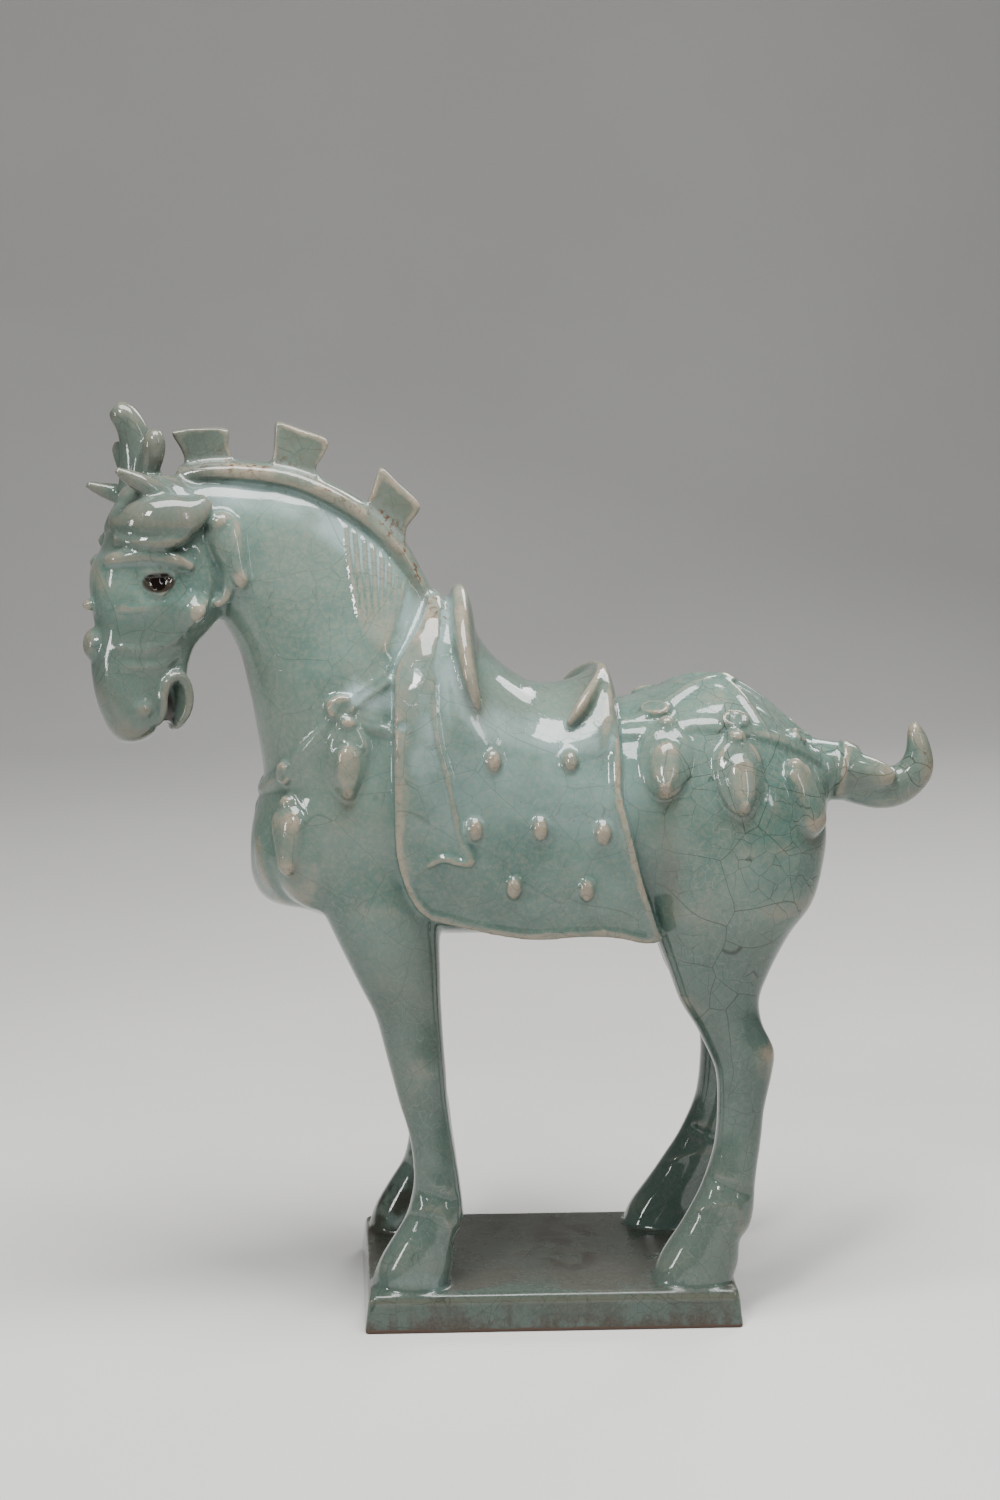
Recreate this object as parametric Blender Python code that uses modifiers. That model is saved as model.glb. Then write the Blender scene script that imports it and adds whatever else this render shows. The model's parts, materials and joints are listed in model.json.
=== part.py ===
"""Celadon-glazed pottery horse on its slab base: saddled, standing, its head turned to the near side.

The horse is drawn in units of 1/346 of its own height, so its outline, pose and carving are shares of
that height. In the drawing X runs from head (minus) to tail (plus), the near side is -Y, and Z is the
height above the top of the slab. The slab is sized in metres round the hooves that stand on it.
"""

import math

import bmesh
import bpy
import numpy as np
from mathutils import Matrix, Vector
from mathutils.bvhtree import BVHTree

# Driving sizes, metres
HORSE_HEIGHT = 0.346
SLAB_THICKNESS = 0.015
SLAB_END_MARGIN = 0.003
SLAB_SIDE_MARGIN = 0.0035
SLAB_SIDE_SLOPE = 0.0018
SLAB_EDGE_RADIUS = 0.0022

# The drawing's own scale
DRAWN_HEIGHT = 346.0
UNIT = HORSE_HEIGHT / DRAWN_HEIGHT

# How the clay is melted into one skin, in drawing units
BODY_CELL = 1.6
BODY_SMOOTHING_STEPS = 12
SKIN_CELL = 1.3
SKIN_SMOOTHING_STEPS = 3
SKIN_TRIANGLES = 9300

RING_POINTS = 40
BETWEEN_STATIONS = 5
HOOF_SINK = 4.0

# Where the head turns on the neck, and how far: towards the near side, with its far side lower
POLL = Vector((-140.0, 0.0, 300.0))
HEAD_TURN = math.radians(18.0)
HEAD_ROLL = math.radians(8.0)
HEAD_SHIFT = -4.5

# Lofts, as stations that run from one side of the outline to the other in the side view:
# x and z of the first point, x and z of the second, y of the middle, half width, squareness, taper
TORSO = (
    (-117.5, 176, -117.5, 159, 0, 8, 2.0, 0.0),
    (-115, 187, -115, 152, 0, 16, 2.0, 0.0),
    (-111, 198, -111, 148, 0, 22, 2.0, 0.0),
    (-105, 209, -105, 145.5, 0, 29, 2.1, 0.0),
    (-95, 222, -95, 144, 0, 35.5, 2.1, 0.05),
    (-82, 236, -82, 139, 0, 39.5, 2.1, 0.1),
    (-66, 248, -66, 135, 0, 41.5, 2.1, 0.1),
    (-48, 252, -48, 134, 0, 43, 2.1, 0.1),
    (-28, 240, -28, 134, 0, 44, 2.1, 0.05),
    (-6, 228, -6, 133, 0, 44.5, 2.1, 0.0),
    (16, 226, 16, 133, 0, 44, 2.1, 0.0),
    (36, 229, 36, 134, 0, 43, 2.1, 0.0),
    (54, 235, 54, 136, 0, 43, 2.1, 0.05),
    (70, 235, 70, 138, 0, 42.5, 2.1, 0.05),
    (84, 227, 84, 142, 0, 40, 2.1, 0.05),
    (95, 217.5, 95, 148, 0, 34, 2.0, 0.0),
    (103, 210, 103, 156, 0, 27, 2.0, 0.0),
    (108, 203, 108, 166, 0, 19, 2.0, 0.0),
    (110.5, 193, 110.5, 177, 0, 8, 2.0, 0.0),
)
NECK = (
    (-44, 214, -110, 178, 0, 38, 2.1, 0.05),
    (-38, 240, -113, 206, 0, 36, 2.1, 0.12),
    (-40, 260, -116.5, 228, 0, 31.5, 2.1, 0.25),
    (-47, 272, -120.5, 246, 0, 27, 2.0, 0.35),
    (-56, 286, -126, 257, 0, 23, 2.0, 0.42),
    (-68, 297.5, -134, 268, -0.5, 19.5, 2.0, 0.45),
    (-83, 306.5, -141, 277, -1, 17, 2.0, 0.4),
    (-98, 312.5, -147, 284, -1.5, 15.5, 2.0, 0.4),
    (-113, 315, -152, 291, -2.5, 14.5, 2.0, 0.4),
    (-128, 316, -156, 300, -3.5, 13.5, 2.0, 0.35),
    (-142, 314.5, -158, 308, -4, 11, 2.0, 0.3),
)
HEAD = (
    (-160, 317, -142, 317, 0, 9, 2.0, 0.0),
    (-167, 311, -134, 311, 0, 14, 2.1, 0.0),
    (-169.5, 303, -128, 303, 0, 16.5, 2.3, -0.05),
    (-172.5, 296, -126, 296, 0, 17.5, 2.4, -0.1),
    (-174.3, 290, -126, 290, 0, 18, 2.5, -0.1),
    (-178, 285, -126, 285, 0, 18, 2.5, -0.1),
    (-179.5, 278, -125.5, 278, 0, 18, 2.6, -0.1),
    (-179.3, 268, -127, 268, 0, 17, 2.6, -0.1),
    (-178.6, 259, -132, 259, 0, 15.5, 2.5, -0.05),
    (-181, 249, -141.5, 249, 0, 14, 2.3, 0.0),
    (-180.9, 240, -148, 240, 0, 13, 2.3, 0.0),
    (-179.8, 232, -154, 232, 0, 12.5, 2.3, 0.0),
    (-177.2, 224, -155.5, 224, 0, 12, 2.3, 0.0),
    (-174.8, 218.5, -157.5, 218.5, 0, 10.5, 2.2, 0.0),
    (-171.5, 215, -163, 215, 0, 6, 2.0, 0.0),
)
LOWER_JAW = (
    (-156, 262, -134, 262, 0, 12, 2.2, 0.0),
    (-156, 250, -141, 250, 0, 11.5, 2.2, 0.0),
    (-155, 241, -144.5, 241, 0, 10.8, 2.2, 0.0),
    (-151.5, 235, -144, 235, 0, 10.5, 2.2, 0.0),
    (-150.5, 229, -143.4, 229, 0, 10.3, 2.2, 0.0),
    (-151, 224, -144.4, 224, 0, 9.6, 2.2, 0.0),
    (-151.6, 220.4, -146.8, 220.4, 0, 8, 2.0, 0.0),
    (-151.2, 218.6, -149.6, 218.6, 0, 4.5, 2.0, 0.0),
)
# What closes the mouth deep between the jaws, and the rolled lip that runs round its corner
MOUTH_FLOOR = (
    (-160, 246, -147, 246, 0, 7.5, 2.0, 0.0),
    (-160, 236, -148, 236, 0, 6.5, 2.0, 0.0),
    (-160, 227, -148, 227, 0, 5.5, 2.0, 0.0),
    (-159, 222.5, -149.5, 222.5, 0, 4.0, 2.0, 0.0),
)
FORELEG = (
    (-96, 190, -45, 190, -15, 25, 2.0, 0.0),
    (-96, 170, -43, 170, -19, 22, 2.0, 0.0),
    (-91, 152, -43, 152, -22, 19.5, 2.1, 0.0),
    (-85, 139, -43.5, 139, -24, 17, 2.1, 0.0),
    (-76, 120, -43.5, 120, -26, 14, 2.2, 0.0),
    (-69.5, 107, -43, 107, -27, 12, 2.2, 0.0),
    (-66.3, 96, -42.5, 96, -28.5, 11, 2.2, 0.0),
    (-64, 86, -41.7, 86, -29.5, 10.5, 2.2, 0.0),
    (-61, 75, -41, 75, -30.5, 9.5, 2.2, 0.0),
    (-57.2, 63, -39.5, 63, -32, 8.5, 2.2, 0.0),
    (-55.3, 53, -38, 53, -33, 8.3, 2.2, 0.0),
    (-55, 40, -36.3, 40, -34, 8.8, 2.2, 0.0),
    (-57, 30, -35, 30, -35, 10, 2.2, 0.0),
    (-60, 24, -35, 24, -35.5, 10.5, 2.2, 0.0),
    (-62.5, 20, -38.3, 20, -36, 11, 2.2, 0.0),
    (-68.8, 9, -39, 9, -36, 12.5, 2.3, 0.0),
    (-71.5, 0, -41, 0, -36, 13, 2.4, 0.0),
)
HINDLEG = (
    (40, 200, 104, 200, -14, 26, 2.0, 0.0),
    (34, 180, 108.5, 180, -18, 26, 2.0, 0.0),
    (33, 165, 107, 165, -21, 23.5, 2.0, 0.0),
    (35.5, 150, 103, 150, -23.5, 20.5, 2.1, 0.0),
    (40.5, 138, 94, 138, -25, 18, 2.1, 0.0),
    (47, 120, 84.5, 120, -27, 14, 2.2, 0.0),
    (50.5, 111, 81.5, 111, -28, 12.5, 2.2, 0.0),
    (56, 102, 83, 102, -29, 11.5, 2.2, 0.0),
    (58.5, 97, 85.5, 97, -29.5, 11, 2.2, 0.0),
    (61.5, 91, 88, 91, -30, 10.5, 2.2, 0.0),
    (64.5, 83, 87, 83, -31, 9.5, 2.2, 0.0),
    (65, 69, 84, 69, -32.5, 8.5, 2.2, 0.0),
    (64, 55, 82.5, 55, -33.5, 8.5, 2.2, 0.0),
    (59, 39, 80.5, 39, -34.5, 9.5, 2.2, 0.0),
    (54, 29, 80, 29, -35.5, 10.5, 2.2, 0.0),
    (49.5, 21, 78, 21, -36, 11, 2.2, 0.0),
    (47, 17, 74.5, 17, -36, 11.5, 2.2, 0.0),
    (41.5, 8, 74, 8, -36, 12.5, 2.3, 0.0),
    (39, 0, 71.5, 0, -36, 13, 2.4, 0.0),
)
FAR_HIND_SHIFT = -5.0
FAR_HIND_SHIFT_FROM = 60.0
TAIL = (
    (92, 216, 92, 184, 0, 16, 2.0, 0.0),
    (104, 211, 104, 186, 0, 13, 2.0, 0.0),
    (113, 209.5, 113, 186, 0, 11.5, 2.0, 0.0),
    (122, 207.5, 119, 184.5, 0, 10.5, 2.0, 0.0),
    (128, 202, 126, 182.5, 0, 9, 2.0, 0.0),
    (135, 199, 134, 181.5, 0, 8, 2.0, 0.0),
    (139.5, 200, 144, 184, 0, 7.2, 2.0, 0.0),
    (142, 204, 152, 192, 0, 6.5, 2.0, 0.0),
    (142.5, 208, 154, 200, 0, 6, 2.0, 0.0),
    (142.3, 212, 152, 209.5, 0, 5, 2.0, 0.0),
    (143, 216, 149, 215, 0, 3.5, 2.0, 0.0),
    (145, 218, 147, 217.6, 0, 1.5, 2.0, 0.0),
)
SADDLE = (
    (-42, 260, -42, 168, 0, 35, 2.0, 0.0),
    (-38, 269, -38, 168, 0, 37, 2.0, 0.0),
    (-34, 271, -34, 167, 0, 38, 2.0, 0.0),
    (-30.5, 267, -30.5, 167, 0, 38.5, 2.0, 0.0),
    (-28.5, 256, -28.5, 166, 0, 39.5, 2.0, 0.0),
    (-24.5, 246, -24.5, 166, 0, 40, 2.0, 0.0),
    (-19, 239.5, -19, 166, 0, 40.5, 2.0, 0.0),
    (-12, 235.5, -12, 166, 0, 41, 2.0, 0.0),
    (0, 233.5, 0, 166, 0, 41, 2.0, 0.0),
    (9, 235, 9, 166, 0, 41, 2.0, 0.0),
    (16, 238.5, 16, 166, 0, 40.5, 2.0, 0.0),
    (20, 241, 20, 166, 0, 40, 2.0, 0.0),
    (23, 240.5, 23, 166, 0, 39, 2.0, 0.0),
    (25.5, 234, 25.5, 168, 0, 38, 2.0, 0.0),
)
# The arches that stand up at the saddle's front and back, as places along the near half of each
# from its foot to its crown: x, y, z, half thickness along the horse, half thickness outwards
POMMEL = (
    (-29, -38, 228, 2.0, 1.5),
    (-31, -37.8, 235, 4.6, 2.8),
    (-33, -35.5, 243.5, 5.9, 3.6),
    (-34.6, -30, 252.5, 6.2, 3.9),
    (-35.2, -19.5, 261.8, 5.8, 3.8),
    (-35, -8, 267.3, 5.0, 3.6),
    (-35, 0, 268.4, 4.9, 3.5),
)
CANTLE = (
    (5.5, -34, 223, 2.0, 1.2),
    (10, -31, 227.4, 4.8, 2.4),
    (14.6, -24, 231, 6.0, 2.9),
    (18.8, -13, 235, 5.4, 2.8),
    (20.6, 0, 237, 4.6, 2.6),
)
CLOTH = (
    (-70, 252, -70, 116, 0, 43, 2.3, 0.0),
    (-60, 264, -60, 114, 0, 46, 2.3, 0.0),
    (-50, 270, -50, 112, 0, 47, 2.3, 0.0),
    (-40, 268, -40, 112, 0, 47.8, 2.3, 0.0),
    (-30, 256, -30, 112, 0, 48.2, 2.3, 0.0),
    (-20, 243, -20, 112, 0, 48.5, 2.3, 0.0),
    (-5, 233, -5, 112, 0, 48.5, 2.3, 0.0),
    (12, 231, 12, 112, 0, 48.5, 2.3, 0.0),
    (26, 232, 26, 112, 0, 48, 2.3, 0.0),
    (44, 235, 44, 112, 0, 47, 2.3, 0.0),
)
CLOTH_FRONT_EDGE = (
    (-47, 285), (-47, 272), (-51, 261), (-59, 248), (-61, 240), (-61.5, 215), (-61.5, 185), (-59.5, 169),
    (-55.5, 157), (-48, 148.5),
)
CLOTH_HEM = ((-31, 144), (-10, 140.5), (13, 141.5), (25, 140.5), (34, 138))
CLOTH_REAR_EDGE = (
    (41, 138.5), (39.5, 146), (33.5, 164), (28.5, 184), (25.5, 197), (25.5, 211), (25, 229), (26, 285),
)
# Half the width of the shape that trims the cloth, which has to reach past both its sides
CLOTH_REACH = 80.0
CLOTH_RIM_WIDTH = 3.2
CLOTH_RIM_LIFT = 1.2
FLAP = CLOTH_FRONT_EDGE[:7] + (
    (-60.5, 172), (-57.5, 163), (-53.5, 166), (-49, 170), (-43, 172.8), (-37, 171.5), (-32.5, 170.5),
    (-37.5, 183), (-41.9, 203.8), (-45.8, 218.6), (-47, 232), (-46, 247), (-43, 262), (-42, 285),
)
FLAP_LIFT = 1.2
# Ridges along the flap's rear edge and its foot: x, z, half width, lift
FLAP_RIDGES = (
    ((-45.6, 247, 1.0, 0.8), (-46.4, 232, 1.7, 1.4), (-45.3, 218.6, 2.0, 1.8), (-41.4, 203.8, 2.2, 2.1),
     (-37.0, 184, 2.4, 2.5), (-33.2, 173.5, 2.5, 2.7), (-32.2, 170.8, 1.6, 1.6)),
    ((-32.5, 172, 1.7, 2.0), (-37, 172.6, 1.5, 1.9), (-43, 173.8, 1.4, 1.6), (-49, 171, 1.1, 1.0)),
)
STUDS = ((-24, 211), (6, 210), (-31, 185), (-6, 185), (18, 183), (-16, 162), (12, 161))
STUD_RADIUS = 3.4
STUD_LIFT = 3.0
STUD_LENGTHENING = 1.4

CREST = (
    (-43, 265, -49, 258, 0, 8.8, 3.0, 0.05),
    (-46.5, 273, -52.5, 267.5, 0, 8.8, 3.0, 0.05),
    (-54.5, 288, -60, 282, 0, 9.0, 3.0, 0.05),
    (-66, 301, -70, 294, 0, 9.2, 3.0, 0.05),
    (-81, 311.5, -84, 304, 0, 9.6, 3.0, 0.05),
    (-97, 318.5, -98.8, 311, 0, 9.8, 3.0, 0.05),
    (-112, 321.5, -112.6, 314, -1, 9.8, 3.0, 0.05),
    (-130, 322.5, -129.5, 315, -2, 9.2, 3.0, 0.05),
    (-144, 320, -142, 313, -3, 7.2, 3.0, 0.05),
)
# Tufts of the clipped mane, each an outline in the side view, and how far it is turned about Z
TUFTS = (
    (((-143, 316), (-141, 322), (-142.6, 327), (-145.6, 332), (-144.8, 334), (-136, 334.8), (-125.5, 334.5),
      (-123.8, 332.5), (-124, 328), (-122.5, 323), (-119, 316)), 3.0, (-133, 0.5)),
    (((-110, 314), (-107.5, 321), (-106.5, 328), (-106, 335.5), (-104.5, 337), (-96, 334), (-87.5, 331),
      (-85.5, 328.5), (-87.5, 324), (-90.5, 319), (-90, 312)), 4.0, (-97, 0)),
    (((-74, 300), (-69.5, 308), (-67.5, 314), (-66, 318.5), (-64, 318.5), (-58, 312.5), (-51.5, 306.5),
      (-50, 303.5), (-52.5, 299.5), (-55.5, 295.5), (-58, 288)), 0.0, (-62, 0)),
)
TUFT_HALF_THICKNESS = 4.6

# Swept forms: places along the path with the half height and half width of the section there
TOPKNOT_HORN = (
    (-158, 0, 310, 9.0, 8.0),
    (-158.3, 0, 319, 7.8, 6.8),
    (-159.2, 0, 327, 7.0, 6.0),
    (-160.5, 0, 333, 6.2, 5.6),
    (-163, 0, 338, 5.5, 5.2),
    (-165.8, 0, 341, 4.8, 4.6),
    (-168, 0, 342.8, 3.2, 3.2),
)
TOPKNOT_NEAR_LOBE = (
    (-156.5, -3, 314.5, 4.8, 4.4),
    (-154.2, -6.5, 321, 4.6, 4.4),
    (-152.6, -8.6, 327, 4.7, 4.5),
    (-152.2, -9.2, 331.5, 4.2, 4.0),
    (-152.2, -9.2, 335, 2.2, 2.2),
)
TOPKNOT_FAR_LOBE = (
    (-161, 3, 314, 4.0, 4.0),
    (-164.5, 5, 321, 3.4, 3.4),
    (-166.5, 6, 326, 2.8, 2.8),
    (-167, 6.2, 329, 1.6, 1.6),
)
# In the head's own frame, on the near side; the far side mirrors them
EAR = (
    (-149, -11, 303, 5.5, 5.5),
    (-155, -13, 309.5, 4.8, 4.6),
    (-161.5, -14.5, 313.8, 4.0, 3.6),
    (-167.5, -15.5, 317, 2.8, 2.4),
    (-172, -16, 319.5, 1.3, 1.2),
)
FAR_EAR = (
    (-149, 11, 303, 5.5, 5.5),
    (-155.5, 13, 308, 4.8, 4.6),
    (-163, 14.5, 310.8, 4.0, 3.6),
    (-170, 15.5, 313.2, 2.8, 2.4),
    (-175.5, 16, 315.4, 1.3, 1.2),
)
FORELOCK = (
    (-165, -1, 303, 6.0, 6.0),
    (-166, -8, 298.5, 7.4, 6.6),
    (-160.5, -15, 299, 9.4, 7.2),
    (-150.5, -18.5, 300, 9.2, 6.4),
    (-142.5, -18, 302.5, 6.6, 5.0),
    (-137, -16.5, 306, 3.8, 3.4),
)
FAR_FORELOCK = (
    (-165, 0, 303, 5.5, 5.5),
    (-165.4, 7, 296.8, 7.0, 6.2),
    (-160, 14, 296, 8.2, 6.6),
    (-150, 18.5, 297, 8.0, 6.0),
    (-141, 18, 300, 6.4, 5.0),
    (-136, 16.5, 305, 3.8, 3.4),
)
FORELOCK_ROLL = (
    (-171.5, -9.5, 293.6, 2.6, 2.6),
    (-165.5, -16.6, 291.6, 3.1, 3.0),
    (-155, -20.6, 291.6, 3.3, 3.0),
    (-147, -20.2, 294.6, 2.9, 2.6),
    (-142.5, -19, 299.5, 1.8, 1.8),
)
BROW = (
    (-175.5, -9, 284.5, 2.6, 2.4),
    (-171.5, -13.8, 285.8, 3.2, 3.0),
    (-163, -17.2, 286.3, 3.3, 3.0),
    (-152, -18.5, 284.5, 3.0, 2.8),
    (-144, -17.5, 281, 1.8, 1.8),
)
CHEEK_LINE = (
    (-134.5, -16.2, 295.5, 1.8, 1.8),
    (-131.4, -16.8, 288.5, 2.2, 2.2),
    (-129.8, -16.6, 279.6, 2.4, 2.4),
    (-129.6, -16, 273, 2.4, 2.4),
    (-131.5, -15, 268.4, 2.0, 2.0),
    (-135.3, -14.6, 266, 1.3, 1.3),
)
UPPER_LID = (
    (-165.2, -16.6, 279.4, 1.0, 1.0),
    (-160, -17.7, 280.6, 1.7, 1.5),
    (-155, -17.9, 280.6, 1.7, 1.5),
    (-150.8, -17.8, 279.2, 1.1, 1.1),
)
LOWER_LID = (
    (-164.4, -16.8, 278.2, 0.9, 0.9),
    (-161.6, -16.9, 274.4, 1.2, 1.2),
    (-157.8, -17.1, 271.6, 1.3, 1.3),
    (-154.2, -17.3, 273.8, 1.2, 1.2),
    (-151.2, -17.7, 278, 0.9, 0.9),
)
LIP_ROLL = (
    (-158.8, -8.6, 221.6, 1.4, 1.4),
    (-157.2, -10.6, 226.6, 1.9, 1.9),
    (-156.8, -11.4, 233, 2.1, 2.1),
    (-154.6, -11.8, 238.2, 2.2, 2.2),
    (-150.3, -11.6, 239.8, 2.3, 2.3),
    (-147.2, -10.8, 236.4, 2.1, 2.1),
    (-146.2, -10.2, 230.5, 1.9, 1.9),
    (-147.5, -9.4, 225, 1.7, 1.7),
    (-150.2, -8.0, 221.4, 1.4, 1.4),
)
# The eye's place in the head's frame, its radius, and the shallow hollow pressed round it
EYE = (-157.8, -14.2, 275.9)
EYE_RADIUS = 3.6
EYE_SOCKET = (12.0, 14.0, 9.0)
EYE_SOCKET_DEPTH = 2.4
NOSE_NUB = (-180.6, 0, 268.8, 3.2, 2.4, 2.4)
NOSE_BOSS = (-179.3, 0, 253.4, 4.8, 5.8, 6.6)
NOSTRIL = (-165.5, -10.6, 228, 4.5, 2.8, 4.5)
CHEEK_BOSS = (-143.8, 16.5, 264.6)
CHEEK_BOSS_RADIUS = 6.6
TAIL_WRAP = (
    (114.5, -1, 198, 12.6, 12.4),
    (118.5, -1, 197.2, 12.0, 11.8),
    (122, -1.5, 196.5, 10.8, 10.6),
)
TAIL_STUB = (
    (116, -4, 198, 9.0, 8.5),
    (124, -5, 197.5, 7.4, 7.4),
    (131, -6, 196.4, 5.8, 6.0),
    (135.5, -6.5, 195.6, 3.6, 4.0),
    (137.2, -6.5, 195.3, 1.4, 1.6),
)
EAR_LEAF = (-129, 304, -118, 274.5)
EAR_LEAF_HALF_WIDTH = 7.5
EAR_LEAF_LIFT = 4.8
EAR_LEAF_HEAD = (0, 4.5, 1.0, 5.2, 4.4, 5.0)

# Harness: rough places on the near side, laid on the body; the far side mirrors them
STRAP_LIFT = 1.5
BREAST_STRAPS = (
    (((-60, -40, 245), (-68, -38, 239), (-81, -35, 230)), 3.0),
    (((-58, -46, 224.5), (-70, -40, 224.5), (-81, -38, 229)), 2.6),
    (((-81, -36, 229), (-91, -34, 217.5), (-103, -27, 204), (-112, -15, 197), (-116, 0, 194)), 2.6),
)
RUMP_STRAPS = (
    (((24, -27, 230), (36, -25, 230), (48, -17, 236), (60, -8, 238), (68, 0, 239)), 2.6),
    (((24, -31, 225), (42, -33, 225), (54, -32, 225), (70, -31, 222), (84, -27, 217.5), (98, -19, 211),
      (106, -11, 204)), 3.6),
    (((68, 0, 239), (82, 0, 233), (94, 0, 223), (104, 0, 212)), 3.0),
    (((68, 0, 239), (76, -16, 231), (84, -27, 219)), 2.2),
)
# x and z of each boss, its half width and half height
BOSSES = (
    (-81.7, 230.6, 5.8, 5.0),
    (-103, 204, 4.0, 4.8),
    (40.8, 225.6, 6.6, 4.6),
    (70.3, 222.6, 6.4, 4.6),
    (96.8, 213, 4.4, 4.2),
)
CUP_FLOOR = 2.6
CUP_RIM = 1.5
CUP_LIFT = 2.9
CUP_STEPS = 12
# A knob on a low round collar: its share of the collar's radius, and shares of the whole lift
KNOB_SHARE = 0.62
KNOB_RISE = 0.3
COLLAR_LIFT = 0.45
ROSETTE = (68.5, 0, 239)
ROSETTE_RADIUS = 7.0
ROSETTE_LIFT = 2.3
CHEEK_BOSS_LIFT = 5.0
# Pendants: x and z of the top, length, half width
PENDANTS = (
    (-79, 224.6, 30, 8.4),
    (43.3, 223.4, 30, 10.0),
    (71.5, 217.8, 30.5, 9.7),
)
# Drops without a bell: x and z of the top, length, half width, and how far they lean to the tail
TAPERED_DROP = (-103.8, 192, 27.5, 7.8, math.radians(8.0))
BELL_DROP = (96.2, 205.2, 27.5, 7.4, math.radians(11.0))
# How far down its length a drop touches the skin
DROP_LIES_AT = 0.45
CHEST_PENDANT = (0, 184.5, 27.5, 7.5)
CHEST_PENDANT_LIFT = 1.6
CHEST_PENDANT_SINK = 3.2
PENDANT_LIFT = 3.3
DROP_LIFT = 4.4
# Shapes of the drops down their length: shares of the length, the half width and the lift
PLATE_SHAPE = (
    (0, 0.3, 0.4), (0.07, 0.62, 0.7), (0.22, 0.92, 0.95), (0.42, 1, 1), (0.62, 0.93, 1), (0.8, 0.74, 0.95),
    (0.93, 0.46, 0.7), (1, 0.12, 0.25),
)
TAPERED_SHAPE = (
    (0, 0.3, 0.35), (0.09, 0.76, 0.75), (0.25, 1, 1), (0.45, 0.9, 1), (0.7, 0.66, 0.95), (0.9, 0.5, 0.85),
    (1, 0.18, 0.3),
)
BELL_SHAPE = (
    (0, 0.62, 0.6), (0.06, 0.84, 0.85), (0.3, 0.92, 1), (0.6, 1, 1), (0.8, 0.96, 1), (0.92, 0.7, 0.8),
    (1, 0.22, 0.3),
)
# A pendant's bell: where it starts and its length, half width and lift, as shares of the plate's
PENDANT_BELL = (0.2, 0.74, 0.76, 1.8)
# Its knob and its tab: place down the length, half width, half height, and lift as a share
PENDANT_KNOB = (0.87, 3.3, 3.5, 1.8)
PENDANT_TAB = (-0.01, 3.8, 3.6, 1.0)
MUSCLES = (
    (-88, -24, 170, 20, 14, 22),
    (-104, -14, 170, 12, 13, 18),
    (-60, -27, 150, 12, 12, 22),
    (72, -24, 180, 30, 20, 34),
    (50, -25, 158, 14, 14, 26),
)


def refined(stations):
    """The stations with smooth ones worked out between them."""
    rows = np.array(stations, float)
    rows = np.vstack([2 * rows[0] - rows[1], rows, 2 * rows[-1] - rows[-2]])
    smooth = []
    for before, first, last, after in zip(rows, rows[1:], rows[2:], rows[3:]):
        for step in range(BETWEEN_STATIONS):
            t = step / BETWEEN_STATIONS
            smooth.append(
                first
                + 0.5 * t * (last - before)
                + t**2 * (before - 2.5 * first + 2 * last - 0.5 * after)
                + 0.5 * t**3 * (3 * first - 3 * last + after - before)
            )
    smooth.append(rows[-2])
    return [row.tolist() for row in smooth]


def round_section(middle, up, side, squareness=2.0, taper=0.0, count=RING_POINTS):
    """Points round a section with the half sizes up and side, narrower at the up end by the taper."""
    power = 2 / squareness
    points = []
    for i in range(count):
        angle = 2 * math.pi * i / count
        c = math.cos(angle)
        s = math.sin(angle)
        along = math.copysign(abs(c) ** power, c)
        across = math.copysign(abs(s) ** power, s) * (1 - taper * c)
        points.append(middle + along * up + across * side)
    return points


def outline_ring(station):
    """The section that runs between the two outline points of a station."""
    x1, z1, x2, z2, y, half_width, squareness, taper = station
    middle = Vector(((x1 + x2) / 2, y, (z1 + z2) / 2))
    up = Vector(((x1 - x2) / 2, 0, (z1 - z2) / 2))
    return round_section(middle, up, Vector((0, half_width, 0)), squareness, taper)


def add_rings(clay, rings):
    """A closed loft through the rings, added to the clay."""
    made = [[clay.verts.new(point) for point in points] for points in rings]
    faces = []
    for one, two in zip(made, made[1:]):
        for i in range(len(one)):
            j = (i + 1) % len(one)
            faces.append(clay.faces.new((one[i], one[j], two[j], two[i])))
    faces.append(clay.faces.new(made[0][::-1]))
    faces.append(clay.faces.new(made[-1]))
    bmesh.ops.recalc_face_normals(clay, faces=faces)


def add_loft(clay, stations, frame=Matrix.Identity(4)):
    add_rings(clay, [[frame @ p for p in outline_ring(s)] for s in refined(stations)])


def add_sweep(clay, places, across, frame=Matrix.Identity(4)):
    """A loft along a path of places, with the second half size of each section along across."""
    rows = refined(places)
    rings = []
    for i, row in enumerate(rows):
        before = rows[max(i - 1, 0)]
        after = rows[min(i + 1, len(rows) - 1)]
        tangent = (Vector(after[:3]) - Vector(before[:3])).normalized()
        side = (across - across.dot(tangent) * tangent).normalized()
        up = side.cross(tangent)
        points = round_section(Vector(row[:3]), row[3] * up, row[4] * side, count=24)
        rings.append([frame @ p for p in points])
    add_rings(clay, rings)


def add_blob(clay, x, y, z, rx, ry, rz, frame=Matrix.Identity(4)):
    place = frame @ Matrix.Translation((x, y, z)) @ Matrix.Diagonal((rx, ry, rz, 1))
    bmesh.ops.create_icosphere(clay, subdivisions=3, radius=1, matrix=place)


def far(stations):
    """The same stations, mirrored to the far side."""
    where = 4 if len(stations[0]) == 8 else 1
    return tuple(s[:where] + (-s[where],) + s[where + 1:] for s in stations)


def sunk(stations):
    """A leg's stations with its sole carried down into the slab."""
    last = stations[-1]
    return stations + ((last[0], -HOOF_SINK, last[2], -HOOF_SINK) + last[4:],)


def hoof_forward(stations):
    """The hind leg's stations with its hoof set further forward."""
    moved = []
    for x1, z1, x2, z2, *rest in stations:
        share = min(max((FAR_HIND_SHIFT_FROM - z1) / FAR_HIND_SHIFT_FROM, 0), 1)
        moved.append((x1 + FAR_HIND_SHIFT * share, z1, x2 + FAR_HIND_SHIFT * share, z2, *rest))
    return moved


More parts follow.
